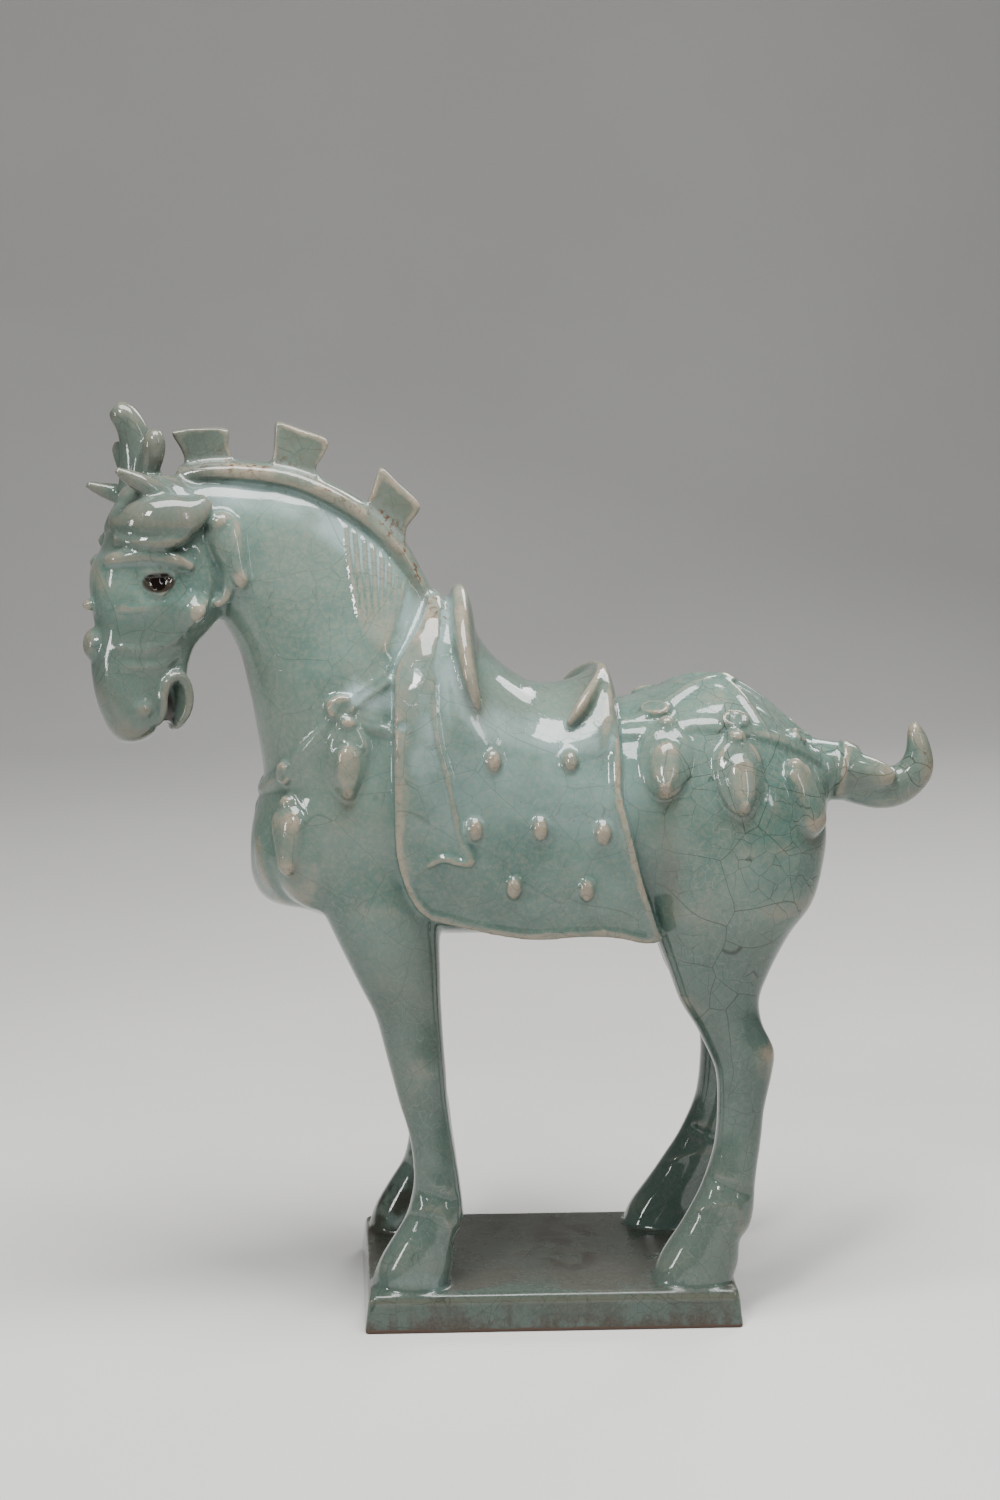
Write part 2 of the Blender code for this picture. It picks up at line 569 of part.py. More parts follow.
def press(clay, middle, radii, push, frame=Matrix.Identity(4)):
    """Pushes the skin in round a place, most in the middle and fading out to the radii."""
    back = frame.inverted()
    way = frame.to_3x3() @ push
    for corner in clay.verts:
        offset = back @ corner.co - middle
        far_out = Vector((offset.x / radii[0], offset.y / radii[1], offset.z / radii[2])).length
        if far_out < 1:
            corner.co += way * (1 - far_out**2) ** 2


def head_frame():
    turn = Matrix.Rotation(HEAD_TURN, 4, "Z") @ Matrix.Rotation(-HEAD_ROLL, 4, "X")
    return Matrix.Translation(POLL + Vector((0, HEAD_SHIFT, 0))) @ turn @ Matrix.Translation(-POLL)


def mesh_object(name, clay, collection):
    mesh = bpy.data.meshes.new(name)
    clay.to_mesh(mesh)
    clay.free()
    made = bpy.data.objects.new(name, mesh)
    collection.objects.link(made)
    return made


def evaluated_clay(thing):
    """What the object's modifiers make of it, as new clay; the object itself goes."""
    bpy.context.view_layer.update()
    mesh = thing.evaluated_get(bpy.context.evaluated_depsgraph_get()).to_mesh()
    clay = bmesh.new()
    clay.from_mesh(mesh)
    bpy.data.objects.remove(thing)
    return clay


def add_clay(clay, more):
    mesh = bpy.data.meshes.new("joined")
    more.to_mesh(mesh)
    clay.from_mesh(mesh)
    more.free()
    bpy.data.meshes.remove(mesh)


def melt(thing, cell, smoothing):
    """Joins all the shapes of a mesh into one skin and softens it."""
    skin = thing.modifiers.new("skin", "REMESH")
    skin.mode = "VOXEL"
    skin.voxel_size = cell
    soft = thing.modifiers.new("soft", "SMOOTH")
    soft.iterations = smoothing


def combine(thing, other, operation):
    cut = thing.modifiers.new(operation.lower(), "BOOLEAN")
    cut.operation = operation
    cut.object = other


def plate(name, outline, half_thickness, collection):
    """A flat plate with an outline in the side view, its middle on the horse's own middle plane."""
    points = refined(tuple(outline) + (outline[0],))[:-1]
    data = bpy.data.curves.new(name, "CURVE")
    data.dimensions = "2D"
    data.fill_mode = "BOTH"
    data.extrude = half_thickness
    line = data.splines.new("POLY")
    line.points.add(len(points) - 1)
    for made, point in zip(line.points, points):
        made.co = (point[0], point[1], 0, 1)
    line.use_cyclic_u = True
    curve = bpy.data.objects.new(name, data)
    curve.rotation_euler.x = math.radians(90)
    collection.objects.link(curve)
    bpy.context.view_layer.update()
    mesh = bpy.data.meshes.new_from_object(curve.evaluated_get(bpy.context.evaluated_depsgraph_get()))
    mesh.transform(curve.matrix_world)
    clay = bmesh.new()
    clay.from_mesh(mesh)
    bmesh.ops.remove_doubles(clay, verts=clay.verts, dist=1e-4)
    bmesh.ops.recalc_face_normals(clay, faces=clay.faces)
    bpy.data.objects.remove(curve)
    return mesh_object(name, clay, collection)


def body_clay(helpers):
    """Torso, neck, legs, head and tail, melted together."""
    clay = bmesh.new()
    for stations in (TORSO, NECK, TAIL):
        add_loft(clay, stations)
    legs = sunk(FORELEG), far(sunk(FORELEG)), sunk(HINDLEG), far(hoof_forward(sunk(HINDLEG)))
    for stations in legs:
        add_loft(clay, stations)
    for x, y, z, *radii in MUSCLES:
        add_blob(clay, x, y, z, *radii)
        add_blob(clay, x, -y, z, *radii)
    add_loft(clay, HEAD, head_frame())
    body = mesh_object("body", clay, helpers)
    melt(body, BODY_CELL, BODY_SMOOTHING_STEPS)
    clay = evaluated_clay(body)
    for side in (1, -1):
        middle = Vector((EYE[0], side * EYE[1], EYE[2]))
        push = Vector((0, math.copysign(EYE_SOCKET_DEPTH, -middle.y), 0))
        press(clay, middle, EYE_SOCKET, push, head_frame())
    return clay


def cloth_layer(outline, lift, helpers):
    """A layer of the saddle cloth inside an outline in the side view, standing out by the lift."""
    clay = bmesh.new()
    raised = [
        (x1, z1 + lift, x2, z2 - lift, y, wide + lift, *rest) for x1, z1, x2, z2, y, wide, *rest in CLOTH
    ]
    add_loft(clay, raised)
    layer = mesh_object("layer", clay, helpers)
    trim = plate("trim", outline, CLOTH_REACH, helpers)
    combine(layer, trim, "INTERSECT")
    clay = evaluated_clay(layer)
    bpy.data.objects.remove(trim)
    return clay


def strip(edge, along, up):
    """An outline that follows an edge and comes back beside it, shifted along X and up."""
    return tuple(edge) + tuple((x + along, z + up) for x, z in reversed(edge))


def add_saddle(clay, helpers):
    edges = CLOTH_FRONT_EDGE + CLOTH_HEM + CLOTH_REAR_EDGE
    add_clay(clay, cloth_layer(edges, 0, helpers))
    for edge, along, up in (
        (CLOTH_FRONT_EDGE[3:], CLOTH_RIM_WIDTH, 0),
        (CLOTH_FRONT_EDGE[-1:] + CLOTH_HEM + CLOTH_REAR_EDGE[:1], 0, CLOTH_RIM_WIDTH),
        (CLOTH_REAR_EDGE[:-1], -CLOTH_RIM_WIDTH, 0),
    ):
        add_clay(clay, cloth_layer(strip(edge, along, up), CLOTH_RIM_LIFT, helpers))
    add_clay(clay, cloth_layer(FLAP, FLAP_LIFT, helpers))
    add_loft(clay, SADDLE)
    for arch in (POMMEL, CANTLE):
        whole = arch + far(arch[:-1])[::-1]
        add_sweep(clay, whole, Vector((0, 0, 1)).cross(Vector((0, 1, 0))))


def add_mane(clay, helpers):
    add_loft(clay, CREST)
    for outline, turn, (x, y) in TUFTS:
        tuft = evaluated_clay(plate("tuft", outline, TUFT_HALF_THICKNESS, helpers))
        middle = Matrix.Translation((x, 0, 0))
        tuft.transform(Matrix.Translation((0, y, 0)) @ middle @ Matrix.Rotation(
            math.radians(turn), 4, "Z") @ middle.inverted())
        add_clay(clay, tuft)


def add_head_carving(clay):
    frame = head_frame()
    across = Vector((0, 1, 0))
    for horn in (TOPKNOT_HORN, TOPKNOT_NEAR_LOBE, TOPKNOT_FAR_LOBE):
        add_sweep(clay, horn, across)
    add_loft(clay, LOWER_JAW, frame)
    add_loft(clay, MOUTH_FLOOR, frame)
    for ear in (EAR, FAR_EAR):
        add_sweep(clay, ear, across, frame)
    for side in (tuple, far):
        for form in (BROW, CHEEK_LINE, UPPER_LID, LOWER_LID, LIP_ROLL, FORELOCK_ROLL):
            add_sweep(clay, side(form), across, frame)
    add_sweep(clay, FORELOCK, Vector((0.4, 1, 0)), frame)
    add_sweep(clay, FAR_FORELOCK, Vector((-0.4, 1, 0)), frame)
    for y in (EYE[1], -EYE[1]):
        add_blob(clay, EYE[0], y, EYE[2], EYE_RADIUS, EYE_RADIUS, EYE_RADIUS, frame)
    for y in (NOSTRIL[1], -NOSTRIL[1]):
        add_blob(clay, NOSTRIL[0], y, *NOSTRIL[2:], frame)
    add_blob(clay, *NOSE_NUB, frame)
    add_blob(clay, *NOSE_BOSS, frame)


class Surface:
    """The skin that the harness is laid on."""

    def __init__(self, clay):
        self.tree = BVHTree.FromBMesh(clay)

    def at_side(self, x, z, side):
        """Where the near (-1) or far (1) side is, straight out from a place in the side view."""
        place, normal, _, _ = self.tree.ray_cast(Vector((x, side * 300, z)), Vector((0, -side, 0)))
        return place, normal

    def near(self, point):
        place, normal, _, _ = self.tree.find_nearest(Vector(point))
        return place, normal


def add_band(clay, path, squareness):
    """A loft along a path on the skin: places with the normal, the half width and the lift there."""
    rings = []
    for i, (place, normal, half_width, lift) in enumerate(path):
        before = path[max(i - 1, 0)][0]
        after = path[min(i + 1, len(path) - 1)][0]
        across = normal.cross(after - before).normalized()
        rings.append(round_section(place, lift * normal, half_width * across, squareness, count=16))
    add_rings(clay, rings)


def add_strap(clay, skin, places, half_width, side):
    """A flat strap laid on the skin through rough places."""
    rows = [(x, y if side < 0 else -y, z) for x, y, z in places]
    add_band(clay, [(*skin.near(row[:3]), half_width, STRAP_LIFT) for row in refined(rows)], 2.4)


def add_ridge(clay, skin, places, side):
    """A ridge on the skin through places in the side view, each with its half width and lift."""
    add_band(clay, [(*skin.at_side(x, z, side), wide, lift) for x, z, wide, lift in refined(places)], 2.0)


def lying_frame(place, normal):
    """Axes on the skin: across, down along the skin, and outwards."""
    down = Vector((0, 0, -1))
    down = (down - down.dot(normal) * normal).normalized()
    across = normal.cross(down)
    return Matrix.Translation(place) @ Matrix((across, down, normal)).transposed().to_4x4()


def add_drop(clay, frame, start, length, half_width, lift, shape):
    """A drop lying down the frame, with a shape's outline."""
    rings = []
    for share, wide, high in refined(shape):
        middle = Vector((0, start + length * share, 0))
        up = Vector((0, 0, lift * high))
        across = Vector((half_width * wide, 0, 0))
        rings.append([frame @ p for p in round_section(middle, up, across, count=20)])
    add_rings(clay, rings)


def hanging_frame(skin, x, z, length, side):
    """Axes at the top of a drop of a length, for one that lies on the skin about its middle."""
    place, normal = skin.at_side(x, z - DROP_LIES_AT * length, side)
    return lying_frame(place, normal) @ Matrix.Translation((0, -DROP_LIES_AT * length, 0))


def add_boss(clay, frame, radius, lift):
    """A round knob on a low collar."""
    knob = radius * KNOB_SHARE
    add_blob(clay, 0, 0, 0, radius, radius, lift * COLLAR_LIFT, frame)
    add_blob(clay, 0, 0, lift * KNOB_RISE, knob, knob, lift * (1 - KNOB_RISE), frame)


def add_cup(clay, frame, half_width, half_height):
    """An oval boss with a raised rim, whose ends overlap a little."""
    add_blob(clay, 0, 0, 0, half_width, half_height, CUP_FLOOR, frame)
    rim = []
    for i in range(CUP_STEPS + 2):
        angle = 2 * math.pi * i / CUP_STEPS
        x = (half_width - CUP_RIM) * math.cos(angle)
        y = (half_height - CUP_RIM) * math.sin(angle)
        rim.append((x, y, 0, CUP_RIM, CUP_LIFT))
    add_sweep(clay, rim, Vector((0, 0, 1)), frame)


def add_pendant(clay, frame, length, half_width, lift):
    """A drop-shaped plate with a bell, a knob at its foot and a tab at its top."""
    add_drop(clay, frame, 0, length, half_width, lift, PLATE_SHAPE)
    start, long, wide, high = PENDANT_BELL
    add_drop(clay, frame, length * start, length * long, half_width * wide, lift * high, PLATE_SHAPE)
    for start, wide, long, high in (PENDANT_KNOB, PENDANT_TAB):
        add_blob(clay, 0, length * start, 0, wide, long, lift * high, frame)


def add_harness(clay, skin):
    for side in (-1, 1):
        for places, half_width in BREAST_STRAPS + RUMP_STRAPS:
            add_strap(clay, skin, places, half_width, side)
        for x, z, half_width, half_height in BOSSES:
            add_cup(clay, lying_frame(*skin.at_side(x, z, side)), half_width, half_height)
        for x, z, length, half_width in PENDANTS:
            add_pendant(clay, hanging_frame(skin, x, z, length, side), length, half_width, PENDANT_LIFT)
        for (x, z, length, half_width, lean), shape in (
            (TAPERED_DROP, TAPERED_SHAPE), (BELL_DROP, BELL_SHAPE),
        ):
            frame = hanging_frame(skin, x, z, length, side) @ Matrix.Rotation(side * lean, 4, "Z")
            add_drop(clay, frame, 0, length, half_width, DROP_LIFT, shape)
            start, wide, long, high = PENDANT_TAB
            add_blob(clay, 0, length * start, 0, wide, long, PENDANT_LIFT * high, frame)
    place, normal = skin.near(ROSETTE)
    across = Vector((1, 0, 0))
    frame = Matrix.Translation(place) @ Matrix((across, normal.cross(across), normal)).transposed().to_4x4()
    add_boss(clay, frame, ROSETTE_RADIUS, ROSETTE_LIFT)
    y, z, length, half_width = CHEST_PENDANT
    place, normal = skin.near((-140, y, z - length * DROP_LIES_AT))
    frame = lying_frame(place, normal)
    frame = frame @ Matrix.Translation((0, -length * DROP_LIES_AT, -CHEST_PENDANT_SINK))
    add_pendant(clay, frame, length, half_width, CHEST_PENDANT_LIFT)


def add_head_harness(clay, skin):
    """The bosses on the cheeks and the drops that hang behind the jaw."""
    frame = head_frame()
    x, y, z = CHEEK_BOSS
    for side in (-1, 1):
        place, normal = skin.near(frame @ Vector((x, side * y, z)))
        add_boss(clay, lying_frame(place, normal), CHEEK_BOSS_RADIUS, CHEEK_BOSS_LIFT)
    x1, z1, x2, z2 = EAR_LEAF
    for side in (-1, 1):
        top = skin.at_side(x1, z1, side)[0]
        tip = skin.at_side(x2, z2, side)[0]
        normal = skin.at_side((x1 + x2) / 2, (z1 + z2) / 2, side)[1]
        down = (tip - top).normalized()
        outward = (normal - normal.dot(down) * down).normalized()
        across = outward.cross(down)
        leaf = Matrix.Translation(top) @ Matrix((across, down, outward)).transposed().to_4x4()
        add_drop(clay, leaf, 0, (tip - top).length, EAR_LEAF_HALF_WIDTH, EAR_LEAF_LIFT, TAPERED_SHAPE)
        add_blob(clay, *EAR_LEAF_HEAD, leaf)


def add_cloth_details(clay, cloth):
    """The studs that hold the cloth's layers, and the ridges round the flap."""
    for side in (-1, 1):
        for ridge in FLAP_RIDGES:
            add_ridge(clay, cloth, ridge, side)
        for x, z in STUDS:
            frame = lying_frame(*cloth.at_side(x, z, side))
            add_blob(clay, 0, 0, 0, STUD_RADIUS, STUD_RADIUS * STUD_LENGTHENING, STUD_LIFT, frame)


def slab_object(collection):
    """The slab, as wide and long as the hooves on it need, its sides leaning in a little."""
    toe = -FORELEG[-1][0] * UNIT
    heel = HINDLEG[-1][2] * UNIT
    reach = (FORELEG[-1][5] - FORELEG[-1][4]) * UNIT
    length = toe + heel + 2 * SLAB_END_MARGIN
    middle = (heel - toe) / 2
    depth = 2 * (reach + SLAB_SIDE_MARGIN)
    clay = bmesh.new()
    size = Matrix.Diagonal((length, depth, SLAB_THICKNESS, 1))
    bmesh.ops.create_cube(clay, size=1, matrix=Matrix.Translation((middle, 0, SLAB_THICKNESS / 2)) @ size)
    for corner in clay.verts:
        if corner.co.z > SLAB_THICKNESS / 2:
            corner.co.x -= math.copysign(SLAB_SIDE_SLOPE, corner.co.x - middle)
            corner.co.y -= math.copysign(SLAB_SIDE_SLOPE, corner.co.y)
    edges = [e for e in clay.edges if max(v.co.z for v in e.verts) > SLAB_THICKNESS / 2]
    bmesh.ops.bevel(clay, geom=edges, offset=SLAB_EDGE_RADIUS, segments=3, profile=0.5, affect="EDGES")
    return mesh_object("slab", clay, collection)


def celadon():
    glaze = bpy.data.materials.new("celadon_glaze")
    glaze.use_nodes = True
    shader = glaze.node_tree.nodes["Principled BSDF"]
    shader.inputs["Base Color"].default_value = (0.29, 0.42, 0.37, 1)
    shader.inputs["Roughness"].default_value = 0.12
    shader.inputs["Metallic"].default_value = 0.0
    return glaze


def triangle_count(thing):
    bpy.context.view_layer.update()
    mesh = thing.evaluated_get(bpy.context.evaluated_depsgraph_get()).data
    mesh.calc_loop_triangles()
    return len(mesh.loop_triangles)


def main():
    for old in list(bpy.data.objects):
        bpy.data.objects.remove(old)
    parts = bpy.data.collections.new("celadon_horse_parts")
    helpers = bpy.data.collections.new("celadon_horse_cutters")
    for collection in (parts, helpers):
        bpy.context.scene.collection.children.link(collection)
    clay = body_clay(helpers)
    body_skin = Surface(clay)
    add_harness(clay, body_skin)
    add_saddle(clay, helpers)
    add_mane(clay, helpers)
    add_cloth_details(clay, Surface(clay))
    add_head_carving(clay)
    add_head_harness(clay, body_skin)
    across = Vector((0, 1, 0))
    add_sweep(clay, TAIL_WRAP, across)
    add_sweep(clay, TAIL_STUB, across)
    clay.transform(Matrix.Translation((0, 0, SLAB_THICKNESS)) @ Matrix.Scale(UNIT, 4))
    horse = mesh_object("celadon_horse", clay, parts)
    melt(horse, SKIN_CELL * UNIT, SKIN_SMOOTHING_STEPS)
    few = horse.modifiers.new("few_faces", "DECIMATE")
    few.ratio = SKIN_TRIANGLES / triangle_count(horse)
    slab = slab_object(helpers)
    slab.hide_render = True
    slab.display_type = "WIRE"
    combine(horse, slab, "UNION")
    horse.data.materials.append(celadon())


main()
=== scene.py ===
"""The look of the celadon-glazed pottery horse: its skin at full detail, the crackled glaze, and the light.

The horse is drawn in units of 1/346 of its own height. In the drawing X runs from head (minus) to tail
(plus), the near side is -Y, and Z is the height above the top of the slab.
"""

import json
import math

import bmesh
import bpy
import numpy as np
from mathutils import Matrix, Vector, noise
from mathutils.bvhtree import BVHTree

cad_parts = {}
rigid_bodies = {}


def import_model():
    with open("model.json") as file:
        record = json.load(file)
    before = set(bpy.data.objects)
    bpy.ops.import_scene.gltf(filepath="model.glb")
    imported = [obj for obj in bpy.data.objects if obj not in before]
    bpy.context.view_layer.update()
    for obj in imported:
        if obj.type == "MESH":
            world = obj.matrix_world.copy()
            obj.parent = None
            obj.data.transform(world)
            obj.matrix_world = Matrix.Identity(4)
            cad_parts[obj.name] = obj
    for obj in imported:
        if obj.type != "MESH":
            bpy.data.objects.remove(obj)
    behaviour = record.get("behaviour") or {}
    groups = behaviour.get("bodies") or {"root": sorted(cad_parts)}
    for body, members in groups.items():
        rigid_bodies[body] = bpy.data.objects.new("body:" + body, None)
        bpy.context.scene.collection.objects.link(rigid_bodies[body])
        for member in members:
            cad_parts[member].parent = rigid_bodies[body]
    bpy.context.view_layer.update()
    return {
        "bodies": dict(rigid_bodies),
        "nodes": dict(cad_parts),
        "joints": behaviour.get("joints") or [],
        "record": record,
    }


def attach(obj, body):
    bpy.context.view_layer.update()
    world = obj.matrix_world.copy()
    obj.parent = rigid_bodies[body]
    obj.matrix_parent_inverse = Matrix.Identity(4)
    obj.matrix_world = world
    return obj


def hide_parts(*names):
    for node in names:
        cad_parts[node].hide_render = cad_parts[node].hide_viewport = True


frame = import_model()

# Driving sizes, metres
HORSE_HEIGHT = 0.346
SLAB_THICKNESS = 0.015
SLAB_END_MARGIN = 0.003
SLAB_SIDE_MARGIN = 0.0035
SLAB_SIDE_SLOPE = 0.0018
SLAB_EDGE_RADIUS = 0.0022
SLAB_EDGE_STEPS = 3

NODE = "celadon_horse"

# The glaze's colours, linear; a few also serve as painted shade
GREEN_DEEP = (0.064, 0.116, 0.097, 1)
GREEN_PALE = (0.112, 0.180, 0.150, 1)
GREY_GREEN = (0.120, 0.158, 0.132, 1)
# Painted shade, laid low on the legs
LEG_SHADE_GREY = (0.046, 0.060, 0.051, 1)
# Darkens the forelock and topknot, and is painted shade on the cheek and muzzle
DUSKY = (0.062, 0.078, 0.066, 1)
TURQUOISE = (0.050, 0.118, 0.106, 1)
MILKY = (0.25, 0.325, 0.315, 1)
WARM_GREY = (0.115, 0.115, 0.088, 1)
TAN = (0.27, 0.225, 0.165, 1)
RUST = (0.095, 0.048, 0.026, 1)
CRACK_PALE = (0.26, 0.32, 0.28, 1)
CRACK_DARK = (0.016, 0.020, 0.015, 1)
SLAB_GREY = (0.038, 0.034, 0.026, 1)
SLAB_GREEN = (0.042, 0.068, 0.056, 1)
STAIN = (0.020, 0.013, 0.006, 1)
BARE_CLAY = (0.060, 0.032, 0.018, 1)
# Brown round the eyes, also used as painted shade deep in the mouth
EYE_BROWN_AND_MOUTH_SHADE = (0.022, 0.015, 0.010, 1)
PUPIL = (0.005, 0.003, 0.002, 1)

# How strongly each tint is laid on, and how much of the slab's runs and blots is left high up its sides
SHARES = {
    "grey_green": 0.7, "fine_tan": 0.2, "turquoise": 0.45, "warm_grey": 0.9, "tan": 0.8, "dark_cracks": 0.75,
    "pits": 0.6, "stains": 0.7, "mouth": 0.9, "high_runs": 0.35, "high_blots": 0.45, "side_grain": 0.5,
    "slab_edge": 0.7, "slab_cracks": 0.55, "slab": 0.92,
}
# How softly stained places end, as shares of their radii
SOFTNESS = {"dusk": 0.7, "stain": 0.8, "mouth": 0.35, "eye": 0.3, "pupil": 0.15}
# Noise patterns: waves in a metre, detail and roughness, then the noise where the share starts and where
# it is full, and the shares there if they aren't 0 and 1
PATTERNS = {
    "pale_clouds": ((26.0, 4.0, 0.6), (0.36, 0.66)),
    "grey_drifts": ((14.0, 3.0, 0.6), (0.42, 0.68)),
    "milky_gaps": ((48.0, 3.0), (0.25, 0.6, 0.5, 1.0)),
    "rusty_specks": ((430.0, 4.0, 0.7), (0.5, 0.62)),
    "rusty_stretches": ((70.0, 2.0), (0.34, 0.56)),
    "pale_crazing": ((30.0, 2.0), (0.36, 0.6, 0.4, 1.0)),
    "dark_cells": ((24.0, 2.0), (0.36, 0.58, 0.35, 0.9)),
    "pit_fields": ((70.0,), (0.54, 0.66)),
    "stain_edges": ((110.0, 4.0), (0.42, 0.58)),
    "shine": ((50.0, 3.0), (0.3, 0.7, 0.04, 0.08)),
    "slab_dirt": ((42.0, 5.0, 0.68), (0.38, 0.62)),
    "slab_grain": ((900.0, 2.0, 0.7), (0.42, 0.6, 0.0, 0.35)),
    "slab_blots": ((55.0, 5.0, 0.7), (0.46, 0.58)),
    "floor_mottle": ((3.0,), (0.3, 0.7)),
}
# Noise that is used in more ways than one: waves in a metre, detail and roughness
FINE = (520.0, 3.0, 0.65)
PATCHES = (95.0, 4.0, 0.65)
SWELLS = (75.0, 2.0)
# The ramps it goes through, as in the patterns
FINE_TAN = (0.42, 0.66)
WARM_PATCHES = (0.3, 0.6, 0.45, 1.0)
TAN_PATCHES = (0.34, 0.6, 0.4, 1.0)
BLEMISH_PATCHES = (0.35, 0.55, 0.3, 0.8)
EYE_PATCHES = (0.3, 0.6, 0.75, 0.95)
# Rounds of blurring, and the height over the blurred skin, in metres, where glaze is fully thin or pooled
THIN_ROUNDS = 14
THIN_FULL = 0.00045
POOL_ROUNDS = 60
POOL_FULL = 0.0018
MARK_ROUNDS = 2
COMB_THINNESS = 0.75
# Ramps over how thin the glaze is
MILK_ON_THIN = (0.1, 0.6, 1.0, 0.1)
TAN_THIN = (0.4, 1.0)
RUST_THIN = (0.6, 1.0, 0.0, 0.3)
# Ramps over the height above the floor, in metres
# Painted shade: the legs darken and grey towards the feet
LEG_SHADE = (0.19, 0.12, 0.0, 0.6)
TAN_HEIGHT = (0.055, 0.085, 0.35, 1.0)
HIND_TOP = (0.275, 0.24)
LEG_TOP = (0.185, 0.16)
PALE_CRACKS = (0.19, 0.12, 0.28, 0.13)
DARK_CRACKS = (0.06, 0.13, 0.35, 1.0)
# Where the hind part starts along the horse, in metres, and the crackle's share on the calmer parts
HIND_START = (0.03, 0.055)
CALM_CRACKS = 0.4
# Crackle: cells in a metre, how places wander before it's drawn, and the lines' width in cells
ARCS = 36.0
ARC_WANDER = (24.0, 0.011)
ARC_WIDTH = 0.008
CELLS = 132.0
CELL_WANDER = (70.0, 0.006)
CELL_WIDTH = 0.021
SHORT_CRACKS = 250.0
SHORT_WANDER = (110.0, 0.003)
SHORT_WIDTH = 0.032
# How far the pattern of short cracks jumps from cell to cell, and how it is stretched
SHORT_CRACKS_APART = (0.3, 0.3, 0.3)
SHORT_STRETCH = (1.0, 1.0, 0.7)
PITS = 330.0
PIT_SIZE = (0.07, 0.12, 1.0, 0.0)
PUPIL_RADIUS = 0.0028
EYE_STAIN = (0.0056, 0.0052, 0.0033)
# Painted shade deep in the mouth: its place in the head's frame, x and z, and the dark patch's radii in
# metres
MOUTH = (-152.6, 227.0)
MOUTH_SHADE = (0.0028, 0.0078, 0.0082)
# Darker grey-green on the forelock and topknot, and painted shade on the cheek and the muzzle: place in the
# head's frame, size, share
DUSKY_AND_SHADED_PARTS = (
    ((-157, 0, 318), (0.022, 0.030, 0.032), 0.65),
    ((-146, 12, 268), (0.012, 0.020, 0.016), 0.4),
    ((-163, 0, 238), (0.020, 0.024, 0.022), 0.6),
)
# The burst bubble on the near foreleg: its place, and its rim's outer and inner radius with their softness
BLEMISH = (-0.0592, -0.046, 0.1305)
BLEMISH_RADIUS = 0.0034
BLEMISH_RIM = ((BLEMISH_RADIUS, 0.3), (BLEMISH_RADIUS * 0.55, 0.4))
# Brown stains on the slab: places and sizes in metres
STAINS = (
    ((0.010, 0.012, 0.015), (0.010, 0.026, 0.006)),
    ((-0.062, 0.036, 0.026), (0.013, 0.012, 0.012)),
)
# Heights over which the slab's glaze starts, its sides start and its low part fills, in metres
SLAB_RISE = (SLAB_THICKNESS + 0.0022, SLAB_THICKNESS - 0.0002)
SLAB_SIDE = (SLAB_THICKNESS - 0.0006, SLAB_THICKNESS - 0.0026)
SLAB_LOW = (SLAB_THICKNESS * 0.75, SLAB_THICKNESS * 0.1)
# The tan band below its top edge starts and ends over these heights
EDGE_FROM = (SLAB_THICKNESS * 0.66, SLAB_THICKNESS * 0.84)
EDGE_TO = (0.0155, 0.0142)
# Where the top turns green towards its front edge, and how far dirt shifts that
SLAB_FRONT = (-0.034, -0.046)
SLAB_FRONT_WAVER = 0.012
DIRT_ON_TOP = (0.0, 1.0, 0.55, 1.0)
DULL_DIRT = (0.0, 1.0, 0.5, 1.0)
# Brown runs down its sides: noise, how it is stretched, and its ramp
RUNS = (130.0, 4.0, 0.65)
RUNS_STRETCH = (1.0, 1.0, 0.25)
RUNS_RAMP = (0.46, 0.64)
# The bare line at its foot, in metres, and how it wavers
SLAB_FOOT = (0.0028, 0.0022)
FOOT_WAVES = 60.0
FOOT_WAVER = 0.0024
FOOT_ROUGHNESS = 0.6
SLAB_ROUGHNESS = 0.3
GLAZE_IOR = 1.5
# Small relief under the glaze's shine, as shares of the bump's distance in metres
CRACK_RISE = -0.07
FINE_RISE = 0.025
PIT_RISE = -0.08
BUMP_STRENGTH = 0.14
BUMP_DISTANCE = 0.0009

# The photograph's view: yaw and pitch in degrees, the rest in metres and millimetres of lens
CAMERA_YAW = 3.0
CAMERA_PITCH = 10.6
CAMERA_DISTANCE = 1.35
CAMERA_LENS = 82.08
CAMERA_SENSOR = 36
CAMERA_CLIP = 0.01
CAMERA_TARGET = Vector((-0.0189, 0, 0.222))

# Name, place, width and height in metres, and watts
LIGHTS = (
    ("key", (-0.45, -0.85, 0.92), (0.2, 0.26), 7.5),
    ("side", (-1.0, -0.52, 0.38), (0.13, 0.26), 2.6),
    ("fill", (0.95, -0.95, 0.75), (0.1, 0.55), 2.0),
    ("top", (0.06, -0.18, 1.0), (0.75, 0.42), 19),
    ("rim", (0.5, 0.9, 0.9), (0.5, 0.4), 6),
)
LIGHT_TARGET = Vector((-0.01, 0, 0.2))
WORLD_COLOUR = (0.75, 0.78, 0.8, 1)
WORLD_STRENGTH = 0.11
FLOOR_REACH = 3.0
FLOOR_BACK = 1.2
FLOOR_CURVE = 0.8
FLOOR_CURVE_STEPS = 12
FLOOR_HEIGHT = 3.0
# How far the floor lies below the slab's foot
FLOOR_GAP = 0.0002
FLOOR_COLOURS = ((0.62, 0.61, 0.59, 1), (0.66, 0.65, 0.63, 1))
FLOOR_ROUGHNESS = 0.7

# The drawing's own scale
DRAWN_HEIGHT = 346.0
UNIT = HORSE_HEIGHT / DRAWN_HEIGHT

# How the clay is melted into one skin, in drawing units
BODY_CELL = 1.2
BODY_SMOOTHING_STEPS = 20
SKIN_CELL = 0.95
SKIN_SMOOTHING_STEPS = 4
# Points of a plate this near each other are one
SAME_PLACE = 1e-4
LOOK_TRIANGLES = 190000

